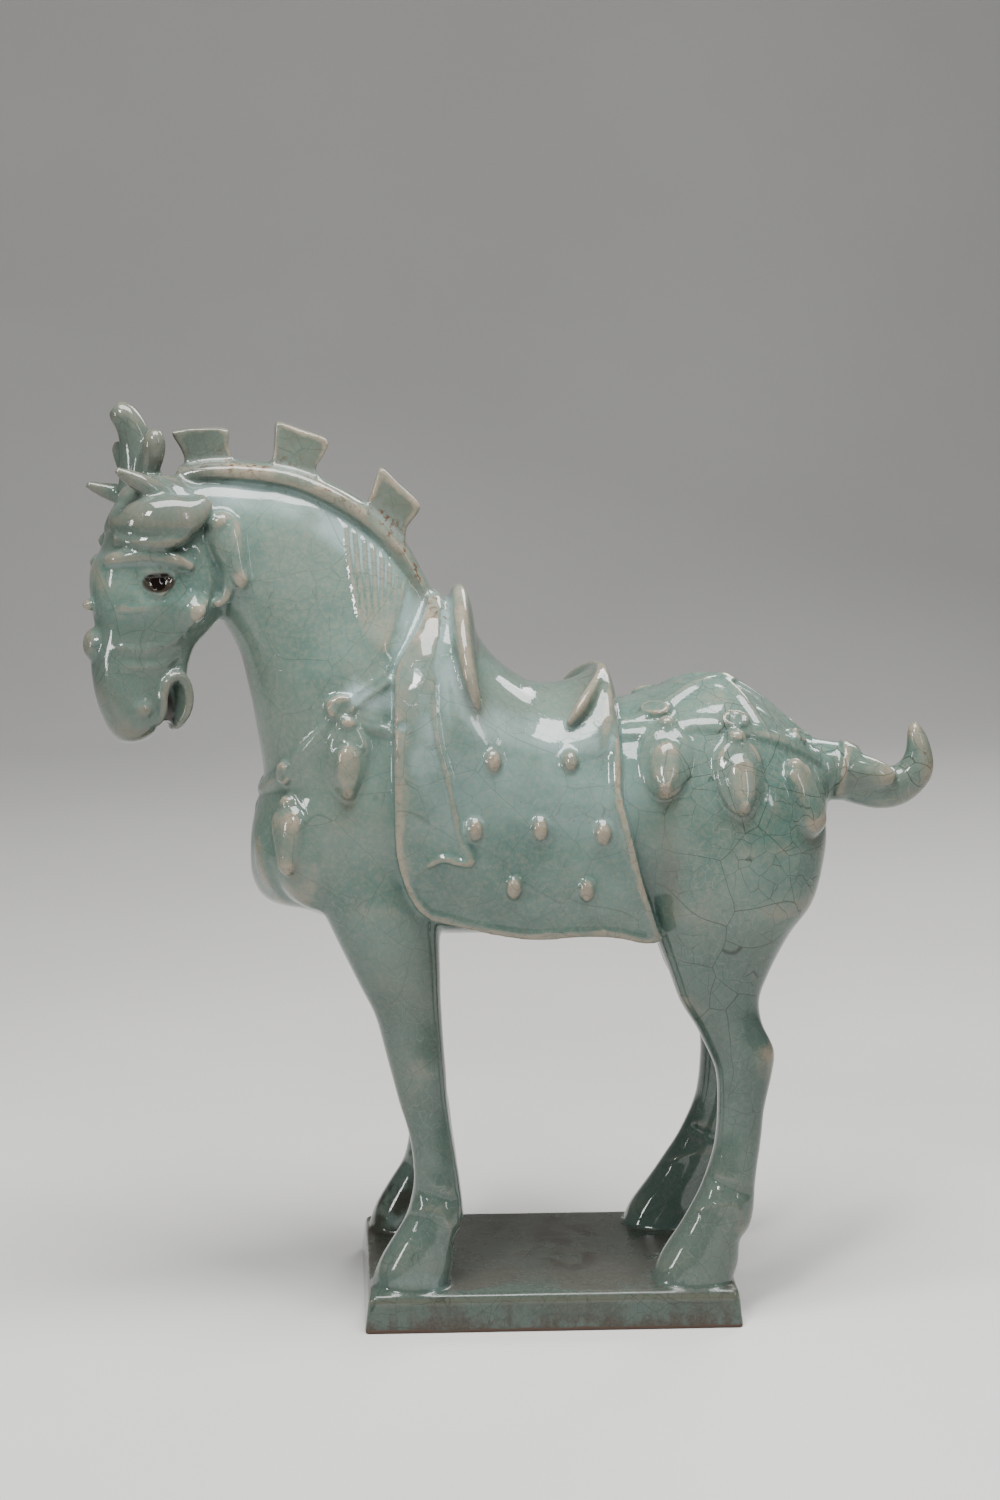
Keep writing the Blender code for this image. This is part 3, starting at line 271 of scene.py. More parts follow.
# Points round a loft's section, a sweep's, a drop's and a strap's, and steps from station to station
RING_POINTS = 40
SWEEP_POINTS = 24
DROP_POINTS = 20
BAND_POINTS = 16
BETWEEN_STATIONS = 5
# How far soles go down into the slab
HOOF_SINK = 4.0

# Where the head turns on the neck, and how far: towards the near side, with its far side lower
POLL = Vector((-140.0, 0.0, 300.0))
HEAD_TURN = math.radians(18.0)
HEAD_ROLL = math.radians(8.0)
HEAD_SHIFT = -4.5


def station(x1, z1, x2, z2, y, half_width, squareness=2.0, taper=0.0):
    """A loft's section, from a point of the outline in the side view to the one across from it."""
    return x1, z1, x2, z2, y, half_width, squareness, taper


def level(*rows):
    """Stations with both their points at one height: x, x, z, y, half width, squareness, taper."""
    return tuple(station(x1, z, x2, z, *rest) for x1, x2, z, *rest in rows)


def upright(*rows):
    """Stations with one point over the other: x, z, z, half width, squareness, taper."""
    return tuple(station(x, z1, x, z2, 0, *rest) for x, z1, z2, *rest in rows)


def slanted(*rows):
    """Stations given in full."""
    return tuple(station(*row) for row in rows)


# Lofts
TORSO = upright(
    (-117.5, 176, 159, 8), (-115, 187, 152, 16), (-111, 198, 148, 22), (-105, 209, 145.5, 29, 2.1),
    (-95, 222, 144, 35.5, 2.1, 0.05), (-82, 236, 139, 39.5, 2.1, 0.1), (-66, 248, 135, 41.5, 2.1, 0.1),
    (-48, 252, 134, 43, 2.1, 0.1), (-28, 240, 134, 44, 2.1, 0.05), (-6, 228, 133, 44.5, 2.1),
    (16, 226, 133, 44, 2.1), (36, 229, 134, 43, 2.1), (54, 235, 136, 43, 2.1, 0.05),
    (70, 235, 138, 42.5, 2.1, 0.05), (84, 227, 142, 40, 2.1, 0.05), (95, 217.5, 148, 34),
    (103, 210, 156, 27), (108, 203, 166, 19), (110.5, 193, 177, 8),
)
NECK = slanted(
    (-44, 214, -110, 178, 0, 38, 2.1, 0.05), (-38, 240, -113, 206, 0, 36, 2.1, 0.12),
    (-40, 260, -116.5, 228, 0, 31.5, 2.1, 0.25), (-47, 272, -120.5, 246, 0, 27, 2, 0.35),
    (-56, 286, -126, 257, 0, 23, 2, 0.42), (-68, 297.5, -134, 268, -0.5, 19.5, 2, 0.45),
    (-83, 306.5, -141, 277, -1, 17, 2, 0.4), (-98, 312.5, -147, 284, -1.5, 15.5, 2, 0.4),
    (-113, 315, -152, 291, -2.5, 14.5, 2, 0.4), (-128, 316, -156, 300, -3.5, 13.5, 2, 0.35),
    (-142, 314.5, -158, 308, -4, 11, 2, 0.3),
)
HEAD = level(
    (-160, -142, 317, 0, 9), (-167, -134, 311, 0, 14, 2.1), (-169.5, -128, 303, 0, 16.5, 2.3, -0.05),
    (-172.5, -126, 296, 0, 17.5, 2.4, -0.1), (-174.3, -126, 290, 0, 18, 2.5, -0.1),
    (-178, -126, 285, 0, 18, 2.5, -0.1), (-179.5, -125.5, 278, 0, 18, 2.6, -0.1),
    (-179.3, -127, 268, 0, 17, 2.6, -0.1), (-178.6, -132, 259, 0, 15.5, 2.5, -0.05),
    (-181, -141.5, 249, 0, 14, 2.3), (-180.9, -148, 240, 0, 13, 2.3), (-179.8, -154, 232, 0, 12.5, 2.3),
    (-177.2, -155.5, 224, 0, 12, 2.3), (-174.8, -157.5, 218.5, 0, 10.5, 2.2), (-171.5, -163, 215, 0, 6),
)
LOWER_JAW = level(
    (-156, -134, 262, 0, 12, 2.2), (-156, -141, 250, 0, 11.5, 2.2), (-155, -144.5, 241, 0, 10.8, 2.2),
    (-151.5, -144, 235, 0, 10.5, 2.2), (-150.5, -143.4, 229, 0, 10.3, 2.2),
    (-151, -144.4, 224, 0, 9.6, 2.2), (-151.6, -146.8, 220.4, 0, 8), (-151.2, -149.6, 218.6, 0, 4.5),
)
# What closes the mouth deep between the jaws, and the rolled lip that runs round its corner
MOUTH_FLOOR = level(
    (-160, -147, 246, 0, 7.5), (-160, -148, 236, 0, 6.5), (-160, -148, 227, 0, 5.5),
    (-159, -149.5, 222.5, 0, 4),
)
FORELEG = level(
    (-96, -45, 190, -15, 25), (-96, -43, 170, -19, 22), (-91, -43, 152, -22, 19.5, 2.1),
    (-85, -43.5, 139, -24, 17, 2.1), (-76, -43.5, 120, -26, 14, 2.2), (-69.5, -43, 107, -27, 12, 2.2),
    (-66.3, -42.5, 96, -28.5, 11, 2.2), (-64, -41.7, 86, -29.5, 10.5, 2.2),
    (-61, -41, 75, -30.5, 9.5, 2.2), (-57.2, -39.5, 63, -32, 8.5, 2.2), (-55.3, -38, 53, -33, 8.3, 2.2),
    (-55, -36.3, 40, -34, 8.8, 2.2), (-57, -35, 30, -35, 10, 2.2), (-60, -35, 24, -35.5, 10.5, 2.2),
    (-62.5, -38.3, 20, -36, 11, 2.2), (-68.8, -39, 9, -36, 12.5, 2.3), (-71.5, -41, 0, -36, 13, 2.4),
)
HINDLEG = level(
    (40, 104, 200, -14, 26), (34, 108.5, 180, -18, 26), (33, 107, 165, -21, 23.5),
    (35.5, 103, 150, -23.5, 20.5, 2.1), (40.5, 94, 138, -25, 18, 2.1), (47, 84.5, 120, -27, 14, 2.2),
    (50.5, 81.5, 111, -28, 12.5, 2.2), (56, 83, 102, -29, 11.5, 2.2), (58.5, 85.5, 97, -29.5, 11, 2.2),
    (61.5, 88, 91, -30, 10.5, 2.2), (64.5, 87, 83, -31, 9.5, 2.2), (65, 84, 69, -32.5, 8.5, 2.2),
    (64, 82.5, 55, -33.5, 8.5, 2.2), (59, 80.5, 39, -34.5, 9.5, 2.2), (54, 80, 29, -35.5, 10.5, 2.2),
    (49.5, 78, 21, -36, 11, 2.2), (47, 74.5, 17, -36, 11.5, 2.2), (41.5, 74, 8, -36, 12.5, 2.3),
    (39, 71.5, 0, -36, 13, 2.4),
)
FAR_HIND_SHIFT = -5.0
FAR_HIND_SHIFT_FROM = 60.0
TAIL = slanted(
    (92, 216, 92, 184, 0, 16), (104, 211, 104, 186, 0, 13), (113, 209.5, 113, 186, 0, 11.5),
    (122, 207.5, 119, 184.5, 0, 10.5), (128, 202, 126, 182.5, 0, 9), (135, 199, 134, 181.5, 0, 8),
    (139.5, 200, 144, 184, 0, 7.2), (142, 204, 152, 192, 0, 6.5), (142.5, 208, 154, 200, 0, 6),
    (142.3, 212, 152, 209.5, 0, 5), (143, 216, 149, 215, 0, 3.5), (145, 218, 147, 217.6, 0, 1.5),
)
SADDLE = upright(
    (-42, 260, 168, 35), (-38, 269, 168, 37), (-34, 271, 167, 38), (-30.5, 267, 167, 38.5),
    (-28.5, 256, 166, 39.5), (-24.5, 246, 166, 40), (-19, 239.5, 166, 40.5), (-12, 235.5, 166, 41),
    (0, 233.5, 166, 41), (9, 235, 166, 41), (16, 238.5, 166, 40.5), (20, 241, 166, 40),
    (23, 240.5, 166, 39), (25.5, 234, 168, 38),
)
# The arches that stand up at the saddle's front and back, as places along the near half of each
# from its foot to its crown: x, y, z, half thickness along the horse, half thickness outwards
POMMEL = (
    (-29, -38, 228, 2, 1.5), (-31, -37.8, 235, 4.6, 2.8), (-33, -35.5, 243.5, 5.9, 3.6),
    (-34.6, -30, 252.5, 6.2, 3.9), (-35.2, -19.5, 261.8, 5.8, 3.8), (-35, -8, 267.3, 5, 3.6),
    (-35, 0, 268.4, 4.9, 3.5),
)
CANTLE = (
    (5.5, -34, 223, 2, 1.2), (10, -31, 227.4, 4.8, 2.4), (14.6, -24, 231, 6, 2.9),
    (18.8, -13, 235, 5.4, 2.8), (20.6, 0, 237, 4.6, 2.6),
)
CLOTH = upright(
    (-70, 252, 116, 43, 2.3), (-60, 264, 114, 46, 2.3), (-50, 270, 112, 47, 2.3),
    (-40, 268, 112, 47.8, 2.3), (-30, 256, 112, 48.2, 2.3), (-20, 243, 112, 48.5, 2.3),
    (-5, 233, 112, 48.5, 2.3), (12, 231, 112, 48.5, 2.3), (26, 232, 112, 48, 2.3), (44, 235, 112, 47, 2.3),
)
CLOTH_FRONT_EDGE = (
    (-47, 285), (-47, 272), (-51, 261), (-59, 248), (-61, 240), (-61.5, 215), (-61.5, 185), (-59.5, 169),
    (-55.5, 157), (-48, 148.5),
)
CLOTH_HEM = ((-31, 144), (-10, 140.5), (13, 141.5), (25, 140.5), (34, 138))
CLOTH_REAR_EDGE = (
    (41, 138.5), (39.5, 146), (33.5, 164), (28.5, 184), (25.5, 197), (25.5, 211), (25, 229), (26, 285),
)
# Half the width of the shape that trims the cloth, which has to reach past both its sides
CLOTH_REACH = 80.0
CLOTH_RIM_WIDTH = 3.2
CLOTH_RIM_LIFT = 1.2
FLAP = CLOTH_FRONT_EDGE[:7] + (
    (-60.5, 172), (-57.5, 163), (-53.5, 166), (-49, 170), (-43, 172.8), (-37, 171.5), (-32.5, 170.5),
    (-37.5, 183), (-41.9, 203.8), (-45.8, 218.6), (-47, 232), (-46, 247), (-43, 262), (-42, 285),
)
FLAP_LIFT = 1.2
# Ridges along the flap's rear edge and its foot: x, z, half width, lift
FLAP_RIDGES = (
    ((-45.6, 247, 1.0, 0.8), (-46.4, 232, 1.7, 1.4), (-45.3, 218.6, 2.0, 1.8), (-41.4, 203.8, 2.2, 2.1),
     (-37.0, 184, 2.4, 2.5), (-33.2, 173.5, 2.5, 2.7), (-32.2, 170.8, 1.6, 1.6)),
    ((-32.5, 172, 1.7, 2.0), (-37, 172.6, 1.5, 1.9), (-43, 173.8, 1.4, 1.6), (-49, 171, 1.1, 1.0)),
)
STUDS = ((-24, 211), (6, 210), (-31, 185), (-6, 185), (18, 183), (-16, 162), (12, 161))
STUD_RADIUS = 3.4
STUD_LIFT = 3.0
STUD_LENGTHENING = 1.4

CREST = slanted(
    (-43, 265, -49, 258, 0, 8.8, 3, 0.05), (-46.5, 273, -52.5, 267.5, 0, 8.8, 3, 0.05),
    (-54.5, 288, -60, 282, 0, 9, 3, 0.05), (-66, 301, -70, 294, 0, 9.2, 3, 0.05),
    (-81, 311.5, -84, 304, 0, 9.6, 3, 0.05), (-97, 318.5, -98.8, 311, 0, 9.8, 3, 0.05),
    (-112, 321.5, -112.6, 314, -1, 9.8, 3, 0.05), (-130, 322.5, -129.5, 315, -2, 9.2, 3, 0.05),
    (-144, 320, -142, 313, -3, 7.2, 3, 0.05),
)
# Tufts of the clipped mane: an outline in the side view, degrees turned about Z, and the x it is turned
# about with the y it is moved by
TUFTS = (
    (((-143, 316), (-141, 322), (-142.6, 327), (-145.6, 332), (-144.8, 334), (-136, 334.8), (-125.5, 334.5),
      (-123.8, 332.5), (-124, 328), (-122.5, 323), (-119, 316)), 3.0, (-133, 0.5)),
    (((-110, 314), (-107.5, 321), (-106.5, 328), (-106, 335.5), (-104.5, 337), (-96, 334), (-87.5, 331),
      (-85.5, 328.5), (-87.5, 324), (-90.5, 319), (-90, 312)), 4.0, (-97, 0)),
    (((-74, 300), (-69.5, 308), (-67.5, 314), (-66, 318.5), (-64, 318.5), (-58, 312.5), (-51.5, 306.5),
      (-50, 303.5), (-52.5, 299.5), (-55.5, 295.5), (-58, 288)), 0.0, (-62, 0)),
)
TUFT_HALF_THICKNESS = 4.6

# Swept forms: x, y, z of places along the path, and the half height and half width of the section there
TOPKNOT_HORN = (
    (-158, 0, 310, 9, 8), (-158.3, 0, 319, 7.8, 6.8), (-159.2, 0, 327, 7, 6), (-160.5, 0, 333, 6.2, 5.6),
    (-163, 0, 338, 5.5, 5.2), (-165.8, 0, 341, 4.8, 4.6), (-168, 0, 342.8, 3.2, 3.2),
)
TOPKNOT_NEAR_LOBE = (
    (-156.5, -3, 314.5, 4.8, 4.4), (-154.2, -6.5, 321, 4.6, 4.4), (-152.6, -8.6, 327, 4.7, 4.5),
    (-152.2, -9.2, 331.5, 4.2, 4), (-152.2, -9.2, 335, 2.2, 2.2),
)
TOPKNOT_FAR_LOBE = (
    (-161, 3, 314, 4, 4), (-164.5, 5, 321, 3.4, 3.4), (-166.5, 6, 326, 2.8, 2.8),
    (-167, 6.2, 329, 1.6, 1.6),
)
# In the head's own frame, on the near side; the far side mirrors them
EAR = (
    (-149, -11, 303, 5.5, 5.5), (-155, -13, 309.5, 4.8, 4.6), (-161.5, -14.5, 313.8, 4, 3.6),
    (-167.5, -15.5, 317, 2.8, 2.4), (-172, -16, 319.5, 1.3, 1.2),
)
FAR_EAR = (
    (-149, 11, 303, 5.5, 5.5), (-155.5, 13, 308, 4.8, 4.6), (-163, 14.5, 310.8, 4, 3.6),
    (-170, 15.5, 313.2, 2.8, 2.4), (-175.5, 16, 315.4, 1.3, 1.2),
)
FORELOCK = (
    (-165, -1, 303, 6, 6), (-166, -8, 298.5, 7.4, 6.6), (-160.5, -15, 299, 9.4, 7.2),
    (-150.5, -18.5, 300, 9.2, 6.4), (-142.5, -18, 302.5, 6.6, 5), (-137, -16.5, 306, 3.8, 3.4),
)
FAR_FORELOCK = (
    (-165, 0, 303, 5.5, 5.5), (-165.4, 7, 296.8, 7, 6.2), (-160, 14, 296, 8.2, 6.6),
    (-150, 18.5, 297, 8, 6), (-141, 18, 300, 6.4, 5), (-136, 16.5, 305, 3.8, 3.4),
)
# How far the sections of both locks lean towards the tail
FORELOCK_LEAN = 0.4
FORELOCK_ROLL = (
    (-171.5, -9.5, 293.6, 2.6, 2.6), (-165.5, -16.6, 291.6, 3.1, 3), (-155, -20.6, 291.6, 3.3, 3),
    (-147, -20.2, 294.6, 2.9, 2.6), (-142.5, -19, 299.5, 1.8, 1.8),
)
BROW = (
    (-175.5, -9, 284.5, 2.6, 2.4), (-171.5, -13.8, 285.8, 3.2, 3), (-163, -17.2, 286.3, 3.3, 3),
    (-152, -18.5, 284.5, 3, 2.8), (-144, -17.5, 281, 1.8, 1.8),
)
CHEEK_LINE = (
    (-134.5, -16.2, 295.5, 1.8, 1.8), (-131.4, -16.8, 288.5, 2.2, 2.2), (-129.8, -16.6, 279.6, 2.4, 2.4),
    (-129.6, -16, 273, 2.4, 2.4), (-131.5, -15, 268.4, 2, 2), (-135.3, -14.6, 266, 1.3, 1.3),
)
UPPER_LID = (
    (-165.2, -16.6, 279.4, 1, 1), (-160, -17.7, 280.6, 1.7, 1.5), (-155, -17.9, 280.6, 1.7, 1.5),
    (-150.8, -17.8, 279.2, 1.1, 1.1),
)
LOWER_LID = (
    (-164.4, -16.8, 278.2, 0.9, 0.9), (-161.6, -16.9, 274.4, 1.2, 1.2), (-157.8, -17.1, 271.6, 1.3, 1.3),
    (-154.2, -17.3, 273.8, 1.2, 1.2), (-151.2, -17.7, 278, 0.9, 0.9),
)
LIP_ROLL = (
    (-158.8, -8.6, 221.6, 1.4, 1.4), (-157.2, -10.6, 226.6, 1.9, 1.9), (-156.8, -11.4, 233, 2.1, 2.1),
    (-154.6, -11.8, 238.2, 2.2, 2.2), (-150.3, -11.6, 239.8, 2.3, 2.3), (-147.2, -10.8, 236.4, 2.1, 2.1),
    (-146.2, -10.2, 230.5, 1.9, 1.9), (-147.5, -9.4, 225, 1.7, 1.7), (-150.2, -8, 221.4, 1.4, 1.4),
)
# The eye's place in the head's frame, its radius, and the shallow hollow pressed round it
EYE = (-157.8, -14.2, 275.9)
EYE_RADIUS = 3.6
EYE_SOCKET = (12.0, 14.0, 9.0)
EYE_SOCKET_DEPTH = 2.4
NOSE_NUB = (-180.6, 0, 268.8, 3.2, 2.4, 2.4)
NOSE_BOSS = (-179.3, 0, 253.4, 4.8, 5.8, 6.6)
NOSTRIL = (-165.5, -10.6, 228, 4.5, 2.8, 4.5)
CHEEK_BOSS = (-143.8, 16.5, 264.6)
CHEEK_BOSS_RADIUS = 6.6
TAIL_WRAP = (
    (114.5, -1, 198, 12.6, 12.4), (118.5, -1, 197.2, 12, 11.8), (122, -1.5, 196.5, 10.8, 10.6),
)
TAIL_STUB = (
    (116, -4, 198, 9, 8.5), (124, -5, 197.5, 7.4, 7.4), (131, -6, 196.4, 5.8, 6),
    (135.5, -6.5, 195.6, 3.6, 4), (137.2, -6.5, 195.3, 1.4, 1.6),
)
EAR_LEAF = (-129, 304, -118, 274.5)
EAR_LEAF_HALF_WIDTH = 7.5
EAR_LEAF_LIFT = 4.8
EAR_LEAF_HEAD = (0, 4.5, 1.0, 5.2, 4.4, 5.0)

# Harness: rough places on the near side, laid on the body; the far side mirrors them
STRAP_LIFT = 1.5
BREAST_STRAPS = (
    (((-60, -40, 245), (-68, -38, 239), (-81, -35, 230)), 3.0),
    (((-58, -46, 224.5), (-70, -40, 224.5), (-81, -38, 229)), 2.6),
    (((-81, -36, 229), (-91, -34, 217.5), (-103, -27, 204), (-112, -15, 197), (-116, 0, 194)), 2.6),
)
RUMP_STRAPS = (
    (((24, -27, 230), (36, -25, 230), (48, -17, 236), (60, -8, 238), (68, 0, 239)), 2.6),
    (((24, -31, 225), (42, -33, 225), (54, -32, 225), (70, -31, 222), (84, -27, 217.5), (98, -19, 211),
      (106, -11, 204)), 3.6),
    (((68, 0, 239), (82, 0, 233), (94, 0, 223), (104, 0, 212)), 3.0),
    (((68, 0, 239), (76, -16, 231), (84, -27, 219)), 2.2),
)
# x and z of each boss, its half width and half height
BOSSES = (
    (-81.7, 230.6, 5.8, 5), (-103, 204, 4, 4.8), (40.8, 225.6, 6.6, 4.6), (70.3, 222.6, 6.4, 4.6),
    (96.8, 213, 4.4, 4.2),
)
CUP_FLOOR = 2.6
CUP_RIM = 1.5
CUP_LIFT = 2.9
CUP_STEPS = 12
# A knob on a low round collar: its share of the collar's radius, and shares of the whole lift
KNOB_SHARE = 0.62
KNOB_RISE = 0.3
COLLAR_LIFT = 0.45
ROSETTE = (68.5, 0, 239)
ROSETTE_RADIUS = 7.0
ROSETTE_LIFT = 2.3
CHEEK_BOSS_LIFT = 5.0
# Pendants: x and z of the top, length, half width
PENDANTS = (
    (-79, 224.6, 30, 8.4), (43.3, 223.4, 30, 10), (71.5, 217.8, 30.5, 9.7),
)
# Drops without a bell: x and z of the top, length, half width, and how far they lean to the tail
TAPERED_DROP = (-103.8, 192, 27.5, 7.8, math.radians(8.0))
BELL_DROP = (96.2, 205.2, 27.5, 7.4, math.radians(11.0))
# How far down its length a drop touches the skin
DROP_LIES_AT = 0.45
CHEST_PENDANT = (0, 184.5, 27.5, 7.5)
CHEST_PENDANT_LIFT = 1.6
CHEST_PENDANT_SINK = 3.2
BEFORE_CHEST = -140
PENDANT_LIFT = 3.3
DROP_LIFT = 4.4
# Shapes of the drops down their length: shares of the length, the half width and the lift
PLATE_SHAPE = (
    (0, 0.3, 0.4), (0.07, 0.62, 0.7), (0.22, 0.92, 0.95), (0.42, 1, 1), (0.62, 0.93, 1), (0.8, 0.74, 0.95),
    (0.93, 0.46, 0.7), (1, 0.12, 0.25),
)
TAPERED_SHAPE = (
    (0, 0.3, 0.35), (0.09, 0.76, 0.75), (0.25, 1, 1), (0.45, 0.9, 1), (0.7, 0.66, 0.95), (0.9, 0.5, 0.85),
    (1, 0.18, 0.3),
)
BELL_SHAPE = (
    (0, 0.62, 0.6), (0.06, 0.84, 0.85), (0.3, 0.92, 1), (0.6, 1, 1), (0.8, 0.96, 1), (0.92, 0.7, 0.8),
    (1, 0.22, 0.3),
)
# A pendant's bell: where it starts and its length, half width and lift, as shares of the plate's
PENDANT_BELL = (0.2, 0.74, 0.76, 1.8)
# Its knob and its tab: place down the length, half width, half height, and lift as a share
PENDANT_KNOB = (0.87, 3.3, 3.5, 1.8)
PENDANT_TAB = (-0.01, 3.8, 3.6, 1.0)
MUSCLES = (
    (-88, -24, 170, 20, 14, 22), (-104, -14, 170, 12, 13, 18), (-60, -27, 150, 12, 12, 22),
    (72, -24, 180, 30, 20, 34), (50, -25, 158, 14, 14, 26),
)


def refined(stations):
    """The stations with smooth ones worked out between them."""
    rows = np.array(stations, float)
    rows = np.vstack([2 * rows[0] - rows[1], rows, 2 * rows[-1] - rows[-2]])
    smooth = []
    for before, first, last, after in zip(rows, rows[1:], rows[2:], rows[3:]):
        for step in range(BETWEEN_STATIONS):
            t = step / BETWEEN_STATIONS
            smooth.append(
                first
                + 0.5 * t * (last - before)
                + t**2 * (before - 2.5 * first + 2 * last - 0.5 * after)
                + 0.5 * t**3 * (3 * first - 3 * last + after - before)
            )
    smooth.append(rows[-2])
    return [row.tolist() for row in smooth]


def round_section(middle, up, side, squareness=2.0, taper=0.0, count=RING_POINTS):
    """Points round a section with the half sizes up and side, narrower at the up end by the taper."""
    power = 2 / squareness
    points = []
    for i in range(count):
        angle = 2 * math.pi * i / count
        c = math.cos(angle)
        s = math.sin(angle)
        along = math.copysign(abs(c) ** power, c)
        across = math.copysign(abs(s) ** power, s) * (1 - taper * c)
        points.append(middle + along * up + across * side)
    return points


def outline_ring(station):
    """The section that runs between the two outline points of a station."""
    x1, z1, x2, z2, y, half_width, squareness, taper = station
    middle = Vector(((x1 + x2) / 2, y, (z1 + z2) / 2))
    up = Vector(((x1 - x2) / 2, 0, (z1 - z2) / 2))
    return round_section(middle, up, Vector((0, half_width, 0)), squareness, taper)


def add_rings(clay, rings):
    """A closed loft through the rings, added to the clay."""
    made = [[clay.verts.new(point) for point in points] for points in rings]
    faces = []
    for one, two in zip(made, made[1:]):
        for i in range(len(one)):
            j = (i + 1) % len(one)
            faces.append(clay.faces.new((one[i], one[j], two[j], two[i])))
    faces.append(clay.faces.new(made[0][::-1]))
    faces.append(clay.faces.new(made[-1]))
    bmesh.ops.recalc_face_normals(clay, faces=faces)


def add_loft(clay, stations, frame=Matrix.Identity(4)):
    add_rings(clay, [[frame @ p for p in outline_ring(s)] for s in refined(stations)])


def add_sweep(clay, places, across, frame=Matrix.Identity(4)):
    """A loft along a path of places, with the second half size of each section along across."""
    rows = refined(places)
    rings = []
    for i, row in enumerate(rows):
        before = rows[max(i - 1, 0)]
        after = rows[min(i + 1, len(rows) - 1)]
        tangent = (Vector(after[:3]) - Vector(before[:3])).normalized()
        side = (across - across.dot(tangent) * tangent).normalized()
        up = side.cross(tangent)
        points = round_section(Vector(row[:3]), row[3] * up, row[4] * side, count=SWEEP_POINTS)
        rings.append([frame @ p for p in points])
    add_rings(clay, rings)


def add_blob(clay, x, y, z, rx, ry, rz, frame=Matrix.Identity(4)):
    place = frame @ Matrix.Translation((x, y, z)) @ Matrix.Diagonal((rx, ry, rz, 1))
    bmesh.ops.create_icosphere(clay, subdivisions=3, radius=1, matrix=place)


def far(stations):
    """The same stations, mirrored to the far side."""
    where = 4 if len(stations[0]) == 8 else 1
    return tuple(s[:where] + (-s[where],) + s[where + 1:] for s in stations)


def sunk(stations):
    """A leg's stations with its sole carried down into the slab."""
    last = stations[-1]
    return stations + ((last[0], -HOOF_SINK, last[2], -HOOF_SINK) + last[4:],)


def hoof_forward(stations):
    """The hind leg's stations with its hoof set further forward."""
    moved = []
    for x1, z1, x2, z2, *rest in stations:
        share = min(max((FAR_HIND_SHIFT_FROM - z1) / FAR_HIND_SHIFT_FROM, 0), 1)
        moved.append((x1 + FAR_HIND_SHIFT * share, z1, x2 + FAR_HIND_SHIFT * share, z2, *rest))
    return moved


def press(clay, middle, radii, push, frame=Matrix.Identity(4)):
    """Pushes the skin in round a place, most in the middle and fading out to the radii."""
    back = frame.inverted()
    way = frame.to_3x3() @ push
    for corner in clay.verts:
        offset = back @ corner.co - middle
        far_out = Vector((offset.x / radii[0], offset.y / radii[1], offset.z / radii[2])).length
        if far_out < 1:
            corner.co += way * (1 - far_out**2) ** 2


def head_frame():
    turn = Matrix.Rotation(HEAD_TURN, 4, "Z") @ Matrix.Rotation(-HEAD_ROLL, 4, "X")
    return Matrix.Translation(POLL + Vector((0, HEAD_SHIFT, 0))) @ turn @ Matrix.Translation(-POLL)


def linked(name, data, collection=None):
    """A new object, in a collection or straight in the scene."""
    made = bpy.data.objects.new(name, data)
    (collection or bpy.context.scene.collection).objects.link(made)
    return made


def mesh_object(name, clay, collection=None):
    mesh = bpy.data.meshes.new(name)
    clay.to_mesh(mesh)
    clay.free()
    return linked(name, mesh, collection)


def evaluated_mesh(thing):
    """What the object's modifiers make of it; the object itself goes."""
    bpy.context.view_layer.update()
    mesh = bpy.data.meshes.new_from_object(thing.evaluated_get(bpy.context.evaluated_depsgraph_get()))
    bpy.data.objects.remove(thing)
    return mesh


def evaluated_clay(thing):
    mesh = evaluated_mesh(thing)
    clay = bmesh.new()
    clay.from_mesh(mesh)
    bpy.data.meshes.remove(mesh)
    return clay


def add_clay(clay, more):
    mesh = bpy.data.meshes.new("joined")
    more.to_mesh(mesh)
    clay.from_mesh(mesh)
    more.free()
    bpy.data.meshes.remove(mesh)


def melt(thing, cell, smoothing):
    """Joins all the shapes of a mesh into one skin and softens it."""
    skin = thing.modifiers.new("skin", "REMESH")
    skin.mode = "VOXEL"
    skin.voxel_size = cell
    soft = thing.modifiers.new("soft", "SMOOTH")
    soft.iterations = smoothing


def combine(thing, other, operation):
    cut = thing.modifiers.new(operation.lower(), "BOOLEAN")
    cut.operation = operation
    cut.object = other


def plate(name, outline, half_thickness, collection):
    """A flat plate with an outline in the side view, its middle on the horse's own middle plane."""
    points = refined(tuple(outline) + (outline[0],))[:-1]
    data = bpy.data.curves.new(name, "CURVE")
    data.dimensions = "2D"
    data.fill_mode = "BOTH"
    data.extrude = half_thickness
    line = data.splines.new("POLY")
    line.points.add(len(points) - 1)
    for made, point in zip(line.points, points):
        made.co = (point[0], point[1], 0, 1)
    line.use_cyclic_u = True
    curve = linked(name, data, collection)
    curve.rotation_euler.x = math.radians(90)
    bpy.context.view_layer.update()
    mesh = bpy.data.meshes.new_from_object(curve.evaluated_get(bpy.context.evaluated_depsgraph_get()))
    mesh.transform(curve.matrix_world)
    clay = bmesh.new()
    clay.from_mesh(mesh)
    bmesh.ops.remove_doubles(clay, verts=clay.verts, dist=SAME_PLACE)
    bmesh.ops.recalc_face_normals(clay, faces=clay.faces)
    bpy.data.objects.remove(curve)
    return mesh_object(name, clay, collection)


